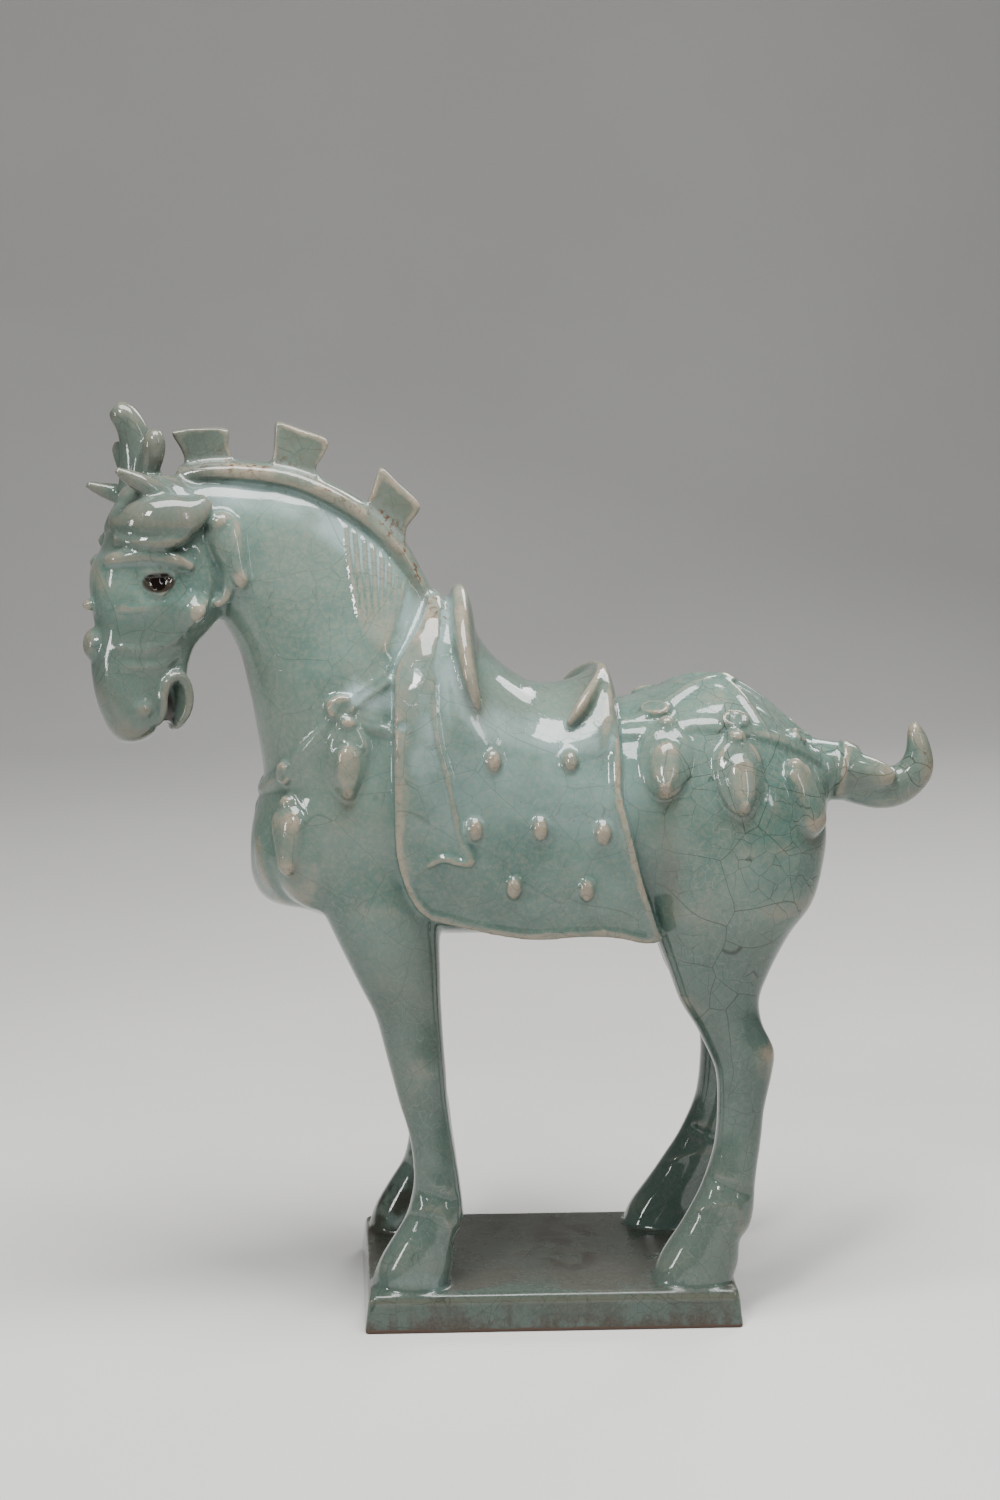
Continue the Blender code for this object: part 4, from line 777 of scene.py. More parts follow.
def body_clay(helpers):
    """Torso, neck, legs, head and tail, melted together."""
    clay = bmesh.new()
    legs = sunk(FORELEG), far(sunk(FORELEG)), sunk(HINDLEG), far(hoof_forward(sunk(HINDLEG)))
    for stations in (TORSO, NECK, TAIL, *legs):
        add_loft(clay, stations)
    for x, y, z, *radii in MUSCLES:
        for across in (y, -y):
            add_blob(clay, x, across, z, *radii)
    add_loft(clay, HEAD, head_frame())
    body = mesh_object("body", clay, helpers)
    melt(body, BODY_CELL, BODY_SMOOTHING_STEPS)
    clay = evaluated_clay(body)
    for side in (1, -1):
        middle = Vector((EYE[0], side * EYE[1], EYE[2]))
        push = Vector((0, math.copysign(EYE_SOCKET_DEPTH, -middle.y), 0))
        press(clay, middle, EYE_SOCKET, push, head_frame())
    return clay


def cloth_layer(outline, lift, helpers):
    """A layer of the saddle cloth inside an outline in the side view, standing out by the lift."""
    clay = bmesh.new()
    raised = [
        (x1, z1 + lift, x2, z2 - lift, y, wide + lift, *rest) for x1, z1, x2, z2, y, wide, *rest in CLOTH
    ]
    add_loft(clay, raised)
    layer = mesh_object("layer", clay, helpers)
    trim = plate("trim", outline, CLOTH_REACH, helpers)
    combine(layer, trim, "INTERSECT")
    clay = evaluated_clay(layer)
    bpy.data.objects.remove(trim)
    return clay


def strip(edge, along, up):
    """An outline that follows an edge and comes back beside it, shifted along X and up."""
    return tuple(edge) + tuple((x + along, z + up) for x, z in reversed(edge))


def add_saddle(clay, helpers):
    edges = CLOTH_FRONT_EDGE + CLOTH_HEM + CLOTH_REAR_EDGE
    add_clay(clay, cloth_layer(edges, 0, helpers))
    for edge, along, up in (
        (CLOTH_FRONT_EDGE[3:], CLOTH_RIM_WIDTH, 0),
        (CLOTH_FRONT_EDGE[-1:] + CLOTH_HEM + CLOTH_REAR_EDGE[:1], 0, CLOTH_RIM_WIDTH),
        (CLOTH_REAR_EDGE[:-1], -CLOTH_RIM_WIDTH, 0),
    ):
        add_clay(clay, cloth_layer(strip(edge, along, up), CLOTH_RIM_LIFT, helpers))
    add_clay(clay, cloth_layer(FLAP, FLAP_LIFT, helpers))
    add_loft(clay, SADDLE)
    for arch in (POMMEL, CANTLE):
        whole = arch + far(arch[:-1])[::-1]
        add_sweep(clay, whole, Vector((0, 0, 1)).cross(Vector((0, 1, 0))))


def add_mane(clay, helpers):
    add_loft(clay, CREST)
    for outline, turn, (x, y) in TUFTS:
        tuft = evaluated_clay(plate("tuft", outline, TUFT_HALF_THICKNESS, helpers))
        middle = Matrix.Translation((x, 0, 0))
        turned = Matrix.Translation((0, y, 0)) @ middle @ Matrix.Rotation(math.radians(turn), 4, "Z")
        tuft.transform(turned @ middle.inverted())
        add_clay(clay, tuft)


def add_head_carving(clay):
    frame = head_frame()
    across = Vector((0, 1, 0))
    for horn in (TOPKNOT_HORN, TOPKNOT_NEAR_LOBE, TOPKNOT_FAR_LOBE):
        add_sweep(clay, horn, across)
    add_loft(clay, LOWER_JAW, frame)
    add_loft(clay, MOUTH_FLOOR, frame)
    for ear in (EAR, FAR_EAR):
        add_sweep(clay, ear, across, frame)
    for side in (tuple, far):
        for form in (BROW, CHEEK_LINE, UPPER_LID, LOWER_LID, LIP_ROLL, FORELOCK_ROLL):
            add_sweep(clay, side(form), across, frame)
    for lock, lean in ((FORELOCK, FORELOCK_LEAN), (FAR_FORELOCK, -FORELOCK_LEAN)):
        add_sweep(clay, lock, Vector((lean, 1, 0)), frame)
    for x, y, *rest in ((*EYE, EYE_RADIUS, EYE_RADIUS, EYE_RADIUS), NOSTRIL):
        for across in (y, -y):
            add_blob(clay, x, across, *rest, frame)
    for blob in (NOSE_NUB, NOSE_BOSS):
        add_blob(clay, *blob, frame)


class Surface:
    """The skin that the harness is laid on."""

    # Where rays start, out beyond the horse's widest part
    outside = 300

    def __init__(self, clay):
        self.tree = BVHTree.FromBMesh(clay)

    def at_side(self, x, z, side):
        """Where the near (-1) or far (1) side is, straight out from a place in the side view."""
        place, normal, _, _ = self.tree.ray_cast(Vector((x, side * self.outside, z)), Vector((0, -side, 0)))
        return place, normal

    def near(self, point):
        place, normal, _, _ = self.tree.find_nearest(Vector(point))
        return place, normal


def add_band(clay, path, squareness):
    """A loft along a path on the skin: places with the normal, the half width and the lift there."""
    rings = []
    for i, (place, normal, half_width, lift) in enumerate(path):
        before = path[max(i - 1, 0)][0]
        after = path[min(i + 1, len(path) - 1)][0]
        across = normal.cross(after - before).normalized()
        rings.append(round_section(place, lift * normal, half_width * across, squareness, count=BAND_POINTS))
    add_rings(clay, rings)


def add_strap(clay, skin, places, half_width, side):
    """A flat strap laid on the skin through rough places."""
    rows = [(x, y if side < 0 else -y, z) for x, y, z in places]
    add_band(clay, [(*skin.near(row[:3]), half_width, STRAP_LIFT) for row in refined(rows)], 2.4)


def add_ridge(clay, skin, places, side):
    """A ridge on the skin through places in the side view, each with its half width and lift."""
    add_band(clay, [(*skin.at_side(x, z, side), wide, lift) for x, z, wide, lift in refined(places)], 2.0)


def lying_frame(place, normal):
    """Axes on the skin: across, down along the skin, and outwards."""
    down = Vector((0, 0, -1))
    down = (down - down.dot(normal) * normal).normalized()
    across = normal.cross(down)
    return Matrix.Translation(place) @ Matrix((across, down, normal)).transposed().to_4x4()


def add_drop(clay, frame, start, length, half_width, lift, shape):
    """A drop lying down the frame, with a shape's outline."""
    rings = []
    for share, wide, high in refined(shape):
        middle = Vector((0, start + length * share, 0))
        up = Vector((0, 0, lift * high))
        across = Vector((half_width * wide, 0, 0))
        rings.append([frame @ p for p in round_section(middle, up, across, count=DROP_POINTS)])
    add_rings(clay, rings)


def hanging_frame(skin, x, z, length, side):
    """Axes at the top of a drop of a length, for one that lies on the skin about its middle."""
    place, normal = skin.at_side(x, z - DROP_LIES_AT * length, side)
    return lying_frame(place, normal) @ Matrix.Translation((0, -DROP_LIES_AT * length, 0))


def add_boss(clay, frame, radius, lift):
    """A round knob on a low collar."""
    knob = radius * KNOB_SHARE
    add_blob(clay, 0, 0, 0, radius, radius, lift * COLLAR_LIFT, frame)
    add_blob(clay, 0, 0, lift * KNOB_RISE, knob, knob, lift * (1 - KNOB_RISE), frame)


def add_cup(clay, frame, half_width, half_height):
    """An oval boss with a raised rim, whose ends overlap a little."""
    add_blob(clay, 0, 0, 0, half_width, half_height, CUP_FLOOR, frame)
    rim = []
    for i in range(CUP_STEPS + 2):
        angle = 2 * math.pi * i / CUP_STEPS
        x = (half_width - CUP_RIM) * math.cos(angle)
        y = (half_height - CUP_RIM) * math.sin(angle)
        rim.append((x, y, 0, CUP_RIM, CUP_LIFT))
    add_sweep(clay, rim, Vector((0, 0, 1)), frame)


def add_pendant(clay, frame, length, half_width, lift):
    """A drop-shaped plate with a bell, a knob at its foot and a tab at its top."""
    add_drop(clay, frame, 0, length, half_width, lift, PLATE_SHAPE)
    start, long, wide, high = PENDANT_BELL
    add_drop(clay, frame, length * start, length * long, half_width * wide, lift * high, PLATE_SHAPE)
    for start, wide, long, high in (PENDANT_KNOB, PENDANT_TAB):
        add_blob(clay, 0, length * start, 0, wide, long, lift * high, frame)


def add_harness(clay, skin):
    for side in (-1, 1):
        for places, half_width in BREAST_STRAPS + RUMP_STRAPS:
            add_strap(clay, skin, places, half_width, side)
        for x, z, half_width, half_height in BOSSES:
            add_cup(clay, lying_frame(*skin.at_side(x, z, side)), half_width, half_height)
        for x, z, length, half_width in PENDANTS:
            add_pendant(clay, hanging_frame(skin, x, z, length, side), length, half_width, PENDANT_LIFT)
        for (x, z, length, half_width, lean), shape in (
            (TAPERED_DROP, TAPERED_SHAPE), (BELL_DROP, BELL_SHAPE),
        ):
            frame = hanging_frame(skin, x, z, length, side) @ Matrix.Rotation(side * lean, 4, "Z")
            add_drop(clay, frame, 0, length, half_width, DROP_LIFT, shape)
            start, wide, long, high = PENDANT_TAB
            add_blob(clay, 0, length * start, 0, wide, long, PENDANT_LIFT * high, frame)
    place, normal = skin.near(ROSETTE)
    across = Vector((1, 0, 0))
    frame = Matrix.Translation(place) @ Matrix((across, normal.cross(across), normal)).transposed().to_4x4()
    add_boss(clay, frame, ROSETTE_RADIUS, ROSETTE_LIFT)
    y, z, length, half_width = CHEST_PENDANT
    place, normal = skin.near((BEFORE_CHEST, y, z - length * DROP_LIES_AT))
    frame = lying_frame(place, normal)
    frame = frame @ Matrix.Translation((0, -length * DROP_LIES_AT, -CHEST_PENDANT_SINK))
    add_pendant(clay, frame, length, half_width, CHEST_PENDANT_LIFT)


def add_head_harness(clay, skin):
    """The bosses on the cheeks and the drops that hang behind the jaw."""
    frame = head_frame()
    x, y, z = CHEEK_BOSS
    for side in (-1, 1):
        place, normal = skin.near(frame @ Vector((x, side * y, z)))
        add_boss(clay, lying_frame(place, normal), CHEEK_BOSS_RADIUS, CHEEK_BOSS_LIFT)
    x1, z1, x2, z2 = EAR_LEAF
    for side in (-1, 1):
        top = skin.at_side(x1, z1, side)[0]
        tip = skin.at_side(x2, z2, side)[0]
        normal = skin.at_side((x1 + x2) / 2, (z1 + z2) / 2, side)[1]
        down = (tip - top).normalized()
        outward = (normal - normal.dot(down) * down).normalized()
        across = outward.cross(down)
        leaf = Matrix.Translation(top) @ Matrix((across, down, outward)).transposed().to_4x4()
        add_drop(clay, leaf, 0, (tip - top).length, EAR_LEAF_HALF_WIDTH, EAR_LEAF_LIFT, TAPERED_SHAPE)
        add_blob(clay, *EAR_LEAF_HEAD, leaf)


def add_cloth_details(clay, cloth):
    """The studs that hold the cloth's layers, and the ridges round the flap."""
    for side in (-1, 1):
        for ridge in FLAP_RIDGES:
            add_ridge(clay, cloth, ridge, side)
        for x, z in STUDS:
            frame = lying_frame(*cloth.at_side(x, z, side))
            add_blob(clay, 0, 0, 0, STUD_RADIUS, STUD_RADIUS * STUD_LENGTHENING, STUD_LIFT, frame)


# Finer forms that only the look has, in drawing units

# The combed lock that hangs from the crest: its outline in the side view, and how far it stands out
MANE_LOCK = (
    (-86, 304), (-76, 298.5), (-67, 291), (-59, 281.5), (-54.5, 275), (-54, 271), (-57, 264), (-60, 256.5),
    (-62.5, 247), (-64.5, 244), (-69, 249.5), (-75, 257.5), (-79.5, 267), (-81.5, 279), (-82.5, 290),
)
MANE_LOCK_LIFT = 0.35
MANE_LOCK_EDGE = 3.5
# The ridge round it, and the height over which the ridge fades out upwards
LOCK_RIM_HALF_WIDTH = 3.0
LOCK_RIM_LIFT = 0.6
LOCK_RIM_TOP = 284
LOCK_RIM_FADE = 8
# The ridges that comb it: how many, where they run, how wide and how high
COMB_RIDGES = 8
COMB_FIRST = -78.0
COMB_LAST = -55.5
COMB_NARROWING = 0.55
COMB_HALF_WIDTH = 1.6
COMB_LIFT = 1.7
COMB_TOP = 306
COMB_TOP_LEAN = 1.5
COMB_BEND = 284
COMB_MIDDLE = 266
COMB_FOOT = 245
COMB_FOOT_LEAN = 1.0
COMB_FOOT_FADE = 10
# Grooves of the tufts: the first and last groove's foot and top, and how many, wide and deep
TUFT_GROOVES = (
    ((-139, 321), (-141.5, 333), (-125.5, 321), (-126.5, 333.5)),
    ((-105, 316), (-104, 335), (-92, 313), (-89, 329)),
    ((-70, 300), (-64, 316), (-58.5, 292), (-53, 304)),
)
TUFT_GROOVE_COUNT = 6
TUFT_GROOVE_HALF_WIDTH = 1.3
TUFT_GROOVE_DEPTH = 0.9
STRAP_GROOVE_HALF_WIDTH = 1.5
STRAP_GROOVE_DEPTH = 1.1
# Ridges and grooves of the hooves: lines in the side view, half width and lift
HOOF_LINES = (
    (((-60.5, 28.5), (-55, 31.5), (-47.5, 32.2), (-42.5, 28.5), (-41, 23.5), (-41.5, 17)), 2.0, 0.6),
    (((-58.5, 37), (-62, 31), (-66, 20)), 2.0, 0.6),
    (((-50, 38.5), (-44, 36.5), (-39, 35)), 2.8, -1.0),
    (((62, 42), (70, 39), (76, 36.5)), 2.8, -1.0),
    (((52, 27.5), (60, 31.5), (70, 32.5), (73.5, 28), (73, 21)), 2.0, 0.6),
)
# Bands over the face and the jowl's edge, in the head's own frame
FACE_LINES = (
    (((-174, 252), (-166, 250.5), (-157, 251.5), (-150, 255)), 1.8, 1.0),
    (((-172, 244.5), (-164, 243.5), (-156, 244.5), (-149, 248)), 1.8, 0.9),
    (((-173, 267), (-165, 266), (-157, 268)), 2.2, 0.7),
    (((-141, 287), (-137, 276), (-140, 266), (-147, 258)), 2.0, 0.9),
)
# Boxes in the side view that hold each relief: least and most x, least and most z
MANE_BOX = (-92, -45, 235, 310)
TUFT_BOX = (-148, -48, 290, 340)
STRAP_BOX = (-106, -58, 200, 248)
HOOF_BOX = (-80, 90, 5, 55)
FACE_BOX = (-182, -130, 230, 292)
# How the relief grows as the skin turns to face sideways, and the rounds that soften it
FACING_GAIN = 3
FACING_START = 0.8
RELIEF_ROUNDS = 5
# Share of the slab's thickness below which there is no relief
RELIEF_FOOT = 0.5
HAND_UNEVENNESS = 0.28
HAND_SIZE = 17.0

# Where milky glaze pooled, and a broad painted sheen across the cloth's middle, as lines in the side view
# with their half width and strength
MILKY_POOLS_AND_SHEEN = (
    (((-143, 308.5), (-128, 310.5), (-113, 309), (-100, 305.5), (-87, 299), (-74, 289), (-64, 277),
      (-57, 264)), 6.0, 0.8),
    (((-46, 264), (-50, 252), (-53, 240), (-53, 226), (-52, 212)), 9.5, 0.75),
    (((-40, 244), (-37, 232), (-30, 226), (-18, 222), (-6, 219), (6, 218), (20, 219)), 6.5, 0.7),
    (((-58, 233), (-68, 233), (-76, 236)), 4.5, 0.75),
    (((-141, 322), (-133, 322.5), (-124, 322)), 3.5, 0.55),
    (((-105, 319), (-97, 317), (-91, 315)), 3.5, 0.6),
    (((-69, 305), (-63, 300), (-57, 295)), 3.5, 0.6),
    (((-174, 287), (-164, 287.5), (-152, 287)), 2.6, 0.5),
    (((-62, 8), (-48, 6), (-44, 2)), 4.0, 0.3),
    # Painted sheen: a broad pale band across the cloth's middle, standing for a soft reflection of light
    (((-40, 200), (-10, 198), (18, 195)), 20.0, 0.28),
)
# Where the glaze is thin and grey-brown over a whole form: lines with their half width and strength
WARM_FORMS = (
    (((-158, 320), (-160, 332), (-167, 341)), 9.0, 0.5),
    (((-152, 322), (-151, 334)), 6.0, 0.6),
    (((-150, 305), (-172, 318)), 5.0, 0.5),
    (((-33, 264), (-33, 246), (-29.5, 230)), 5.5, 0.6),
    (((20, 238), (9, 228)), 5.0, 0.5),
    (((118, 198), (137, 196)), 10.0, 0.45),
    (((-150, 300), (-170, 296)), 8.0, 0.3),
    (((43, 186), (45, 165), (47, 150)), 4.0, 0.6),
)
CREST_RUST_HALF_WIDTH = 4.5
CREST_WARM_HALF_WIDTH = 3.6
CREST_WARMTH = 0.75
DROP_WARMTH = 0.2
# A drop's foot starts at this share of its length
DROP_FOOT = 0.86
DROP_FOOT_WARMTH = 0.75
STUD_WARMTH = 0.9


def slab_clay():
    """The slab as the frame has it, in metres, with its top edges rounded under the glaze."""
    toe = -FORELEG[-1][0] * UNIT
    heel = HINDLEG[-1][2] * UNIT
    reach = (FORELEG[-1][5] - FORELEG[-1][4]) * UNIT
    length = toe + heel + 2 * SLAB_END_MARGIN
    middle = (heel - toe) / 2
    depth = 2 * (reach + SLAB_SIDE_MARGIN)
    half = SLAB_THICKNESS / 2
    clay = bmesh.new()
    size = Matrix.Diagonal((length, depth, SLAB_THICKNESS, 1))
    bmesh.ops.create_cube(clay, size=1, matrix=Matrix.Translation((middle, 0, half)) @ size)
    for corner in clay.verts:
        if corner.co.z > half:
            corner.co.x -= math.copysign(SLAB_SIDE_SLOPE, corner.co.x - middle)
            corner.co.y -= math.copysign(SLAB_SIDE_SLOPE, corner.co.y)
    edges = [e for e in clay.edges if max(v.co.z for v in e.verts) > half]
    bmesh.ops.bevel(
        clay, geom=edges, offset=SLAB_EDGE_RADIUS, segments=SLAB_EDGE_STEPS, profile=0.5, affect="EDGES"
    )
    return clay


def corners(mesh):
    """The places and normals of a mesh's corners, and its edges, as arrays."""
    places = np.empty(len(mesh.vertices) * 3)
    normals = np.empty(len(mesh.vertices) * 3)
    edges = np.empty(len(mesh.edges) * 2, dtype=np.int64)
    mesh.vertices.foreach_get("co", places)
    mesh.vertex_normals.foreach_get("vector", normals)
    mesh.edges.foreach_get("vertices", edges)
    return places.reshape(-1, 3), normals.reshape(-1, 3), edges.reshape(-1, 2)


def drawing_places(places):
    """Places in the scene as places in the drawing."""
    return (places - (0, 0, SLAB_THICKNESS)) / UNIT


def blurred(values, edges, rounds):
    """Values at the corners, each averaged with its neighbours' so many times."""
    ends = np.concatenate([edges[:, 0], edges[:, 1]])
    others = np.concatenate([edges[:, 1], edges[:, 0]])
    neighbours = np.bincount(ends, minlength=len(values))[:, None]
    flat = values.reshape(len(values), -1)
    for _ in range(rounds):
        totals = [np.bincount(ends, weights=column[others], minlength=len(flat)) for column in flat.T]
        flat = 0.5 * flat + 0.5 * np.stack(totals, 1) / neighbours
    return flat.reshape(values.shape)


def distance_to_line(points, line):
    """How far points in the side view lie from a line through places."""
    nearest = np.full(len(points), np.inf)
    for one, two in zip(line, line[1:]):
        start = np.array(one, float)
        way = np.array(two, float) - start
        share = np.clip((points - start) @ way / (way @ way), 0, 1)
        nearest = np.minimum(nearest, np.linalg.norm(points - start - share[:, None] * way, axis=1))
    return nearest


def inside_outline(points, outline):
    """Which points in the side view lie inside an outline."""
    within = np.zeros(len(points), bool)
    for (x1, z1), (x2, z2) in zip(outline, outline[1:] + outline[:1]):
        crosses = (z1 > points[:, 1]) != (z2 > points[:, 1])
        with np.errstate(divide="ignore", invalid="ignore"):
            where = x1 + (points[:, 1] - z1) * (x2 - x1) / (z2 - z1)
        within ^= crosses & (points[:, 0] < where)
    return within


def fade(distance, reach):
    """1 at no distance, falling smoothly to 0 at the reach."""
    share = np.clip(1 - distance / reach, 0, 1)
    return share * share * (3 - 2 * share)


def between(one, two, share):
    return tuple(a + share * (b - a) for a, b in zip(one, two))


def smooth_line(line):
    """A smooth line through places in the side view."""
    return [tuple(p[:2]) for p in refined(line)]


def mane_relief(points):
    """How far the mane's lock stands out of the neck, ridges and all, in drawing units."""
    outline = smooth_line(MANE_LOCK + (MANE_LOCK[0],))
    from_edge = distance_to_line(points, outline)
    inside = np.where(inside_outline(points, outline), 1 - fade(from_edge, MANE_LOCK_EDGE), 0)
    lift = MANE_LOCK_LIFT * inside
    rim = LOCK_RIM_LIFT * fade(from_edge, LOCK_RIM_HALF_WIDTH)
    lift += rim * fade(points[:, 1] - LOCK_RIM_TOP, LOCK_RIM_FADE)
    centre = (COMB_FIRST + COMB_LAST) / 2
    for i in range(COMB_RIDGES):
        top = COMB_FIRST + i * (COMB_LAST - COMB_FIRST) / (COMB_RIDGES - 1)
        foot = top + COMB_NARROWING * (centre - top)
        line = (
            (top - COMB_TOP_LEAN, COMB_TOP), (top, COMB_BEND),
            ((top + foot) / 2, COMB_MIDDLE), (foot + COMB_FOOT_LEAN, COMB_FOOT),
        )
        ridge = fade(distance_to_line(points, line), COMB_HALF_WIDTH)
        ridge *= 1 - fade(points[:, 1] - COMB_FOOT, COMB_FOOT_FADE)
        lift += COMB_LIFT * inside * ridge
    return lift


def relief(points, lines):
    """Ridges, and grooves where the lift is below 0, along lines in the side view."""
    lift = np.zeros(len(points))
    for line, half_width, height in lines:
        lift += height * fade(distance_to_line(points, line), half_width)
    return lift


def tuft_relief(points):
    """The grooves that comb the clipped tufts."""
    grooves = [
        (between(foot1, foot2, share), between(top1, top2, share))
        for foot1, top1, foot2, top2 in TUFT_GROOVES
        for share in [i / (TUFT_GROOVE_COUNT - 1) for i in range(TUFT_GROOVE_COUNT)]
    ]
    return relief(points, [(line, TUFT_GROOVE_HALF_WIDTH, -TUFT_GROOVE_DEPTH) for line in grooves])


def strap_relief(points):
    """A groove down the middle of each breast strap."""
    middles = [[(x, z) for x, _, z in places] for places, _ in BREAST_STRAPS]
    return relief(points, [(line, STRAP_GROOVE_HALF_WIDTH, -STRAP_GROOVE_DEPTH) for line in middles])


def hoof_relief(points):
    return relief(points, [(smooth_line(line), *size) for line, *size in HOOF_LINES])


def face_relief(points):
    return relief(points, [(smooth_line(line), *size) for line, *size in FACE_LINES])


def fine_relief(drawn, normals, edges):
    """How far the fine forms stand out of the skin where it faces sideways, in drawing units."""
    side_view = drawn[:, [0, 2]]
    turn = np.array(head_frame().inverted())
    on_head = (drawn @ turn[:3, :3].T + turn[:3, 3])[:, [0, 2]]
    head_normals = normals @ turn[:3, :3].T
    rise = np.zeros(len(drawn))
    for form, places, facing, (x1, x2, z1, z2) in (
        (mane_relief, side_view, normals, MANE_BOX),
        (tuft_relief, side_view, normals, TUFT_BOX),
        (strap_relief, side_view, normals, STRAP_BOX),
        (hoof_relief, side_view, normals, HOOF_BOX),
        (face_relief, on_head, head_normals, FACE_BOX),
    ):
        x, z = places.T
        box = (x > x1) & (x < x2) & (z > z1) & (z < z2)
        rise[box] += form(places[box]) * np.clip(FACING_GAIN * np.abs(facing[box, 1]) - FACING_START, 0, 1)
    return blurred(rise, edges, RELIEF_ROUNDS)


def hand_relief(drawn):
    """The slight unevenness that modelling by hand leaves, in drawing units."""
    return np.array([HAND_UNEVENNESS * noise.noise(Vector(p) / HAND_SIZE) for p in drawn])


def glazed_mesh(horse):
    """The dense skin with its combing and unevenness, then thinned to what flat places need."""
    mesh = evaluated_mesh(horse)
    places, normals, edges = corners(mesh)
    drawn = drawing_places(places)
    rise = fine_relief(drawn, normals, edges) + hand_relief(drawn)
    rise *= np.clip((places[:, 2] - RELIEF_FOOT * SLAB_THICKNESS) / SLAB_THICKNESS, 0, 1)
    places += normals * rise[:, None] * UNIT
    places[:, 2] = np.maximum(places[:, 2], 0)
    mesh.vertices.foreach_set("co", places.ravel())
    mesh.update()
    skin = linked("dense_skin", mesh)
    few = skin.modifiers.new("few_faces", "DECIMATE")
    mesh.calc_loop_triangles()
    few.ratio = LOOK_TRIANGLES / len(mesh.loop_triangles)
    thin = evaluated_mesh(skin)
    thin.shade_smooth()
    return thin


def stroke(points, line, half_width, strength):
    """A soft painted line in the side view."""
    beside = np.maximum(distance_to_line(points, smooth_line(line)) - half_width / 3, 0)
    return strength * fade(beside, half_width)


def warm_strokes():
    """The lines along which the glaze is thin and warm, each with its half width and strength."""
    drops = [((x, z), (x, z - length), half_width) for x, z, length, half_width in PENDANTS]
    for x, z, length, half_width, lean in (TAPERED_DROP, BELL_DROP):
        drops.append(((x, z), (x + length * math.sin(lean), z - length), half_width))
    yield from WARM_FORMS
    for top, tip, half_width in drops:
        yield (top, tip), half_width, DROP_WARMTH
        yield (between(top, tip, DROP_FOOT), tip), half_width / 2, DROP_FOOT_WARMTH
    for x, z in STUDS:
        yield ((x, z + STUD_RADIUS / 3), (x, z - STUD_RADIUS / 3)), STUD_RADIUS, STUD_WARMTH
    band = tuple(((x1 + x2) / 2, (z1 + z2) / 2) for x1, z1, x2, z2, *_ in CREST)
    yield band, CREST_WARM_HALF_WIDTH, CREST_WARMTH


def painted(points):
    """Milky pools and a painted sheen on the cloth, warm thin forms and rust, as shares at places in the
    side view.
    """
    milky_and_sheen, warm = (
        np.maximum.reduce([stroke(points, *form) for form in forms])
        for forms in (MILKY_POOLS_AND_SHEEN, warm_strokes())
    )
    for outline, *_ in TUFTS:
        tuft = inside_outline(points, smooth_line(outline + (outline[0],)))
        warm = np.maximum(warm, np.where(tuft, CREST_WARMTH, 0))
    comb = np.clip(mane_relief(points) - MANE_LOCK_LIFT, 0, 1)
    top_edge = tuple(station[:2] for station in CREST)
    rust = stroke(points, top_edge, CREST_RUST_HALF_WIDTH, 1.0)
    return {"milky_and_sheen": milky_and_sheen, "warm": warm, "rust": rust, "comb": comb}


def mark_glaze(mesh):
    """Where the glaze ran thin over ridges, pooled in hollows or took a tint, and where a sheen is painted,
    as values at the corners.
    """
    places, normals, edges = corners(mesh)
    marks = painted(drawing_places(places)[:, [0, 2]])
    for name, sign, rounds, full in (
        ("thin", 1, THIN_ROUNDS, THIN_FULL), ("pool", -1, POOL_ROUNDS, POOL_FULL),
    ):
        height = ((places - blurred(places, edges, rounds)) * normals).sum(1)
        marks[name] = np.clip(blurred(sign * height, edges, MARK_ROUNDS) / full, 0, 1)
    for name, share in marks.items():
        mark = mesh.attributes.new(name, "FLOAT", "POINT")
        mark.data.foreach_set("value", share.astype(np.float32))


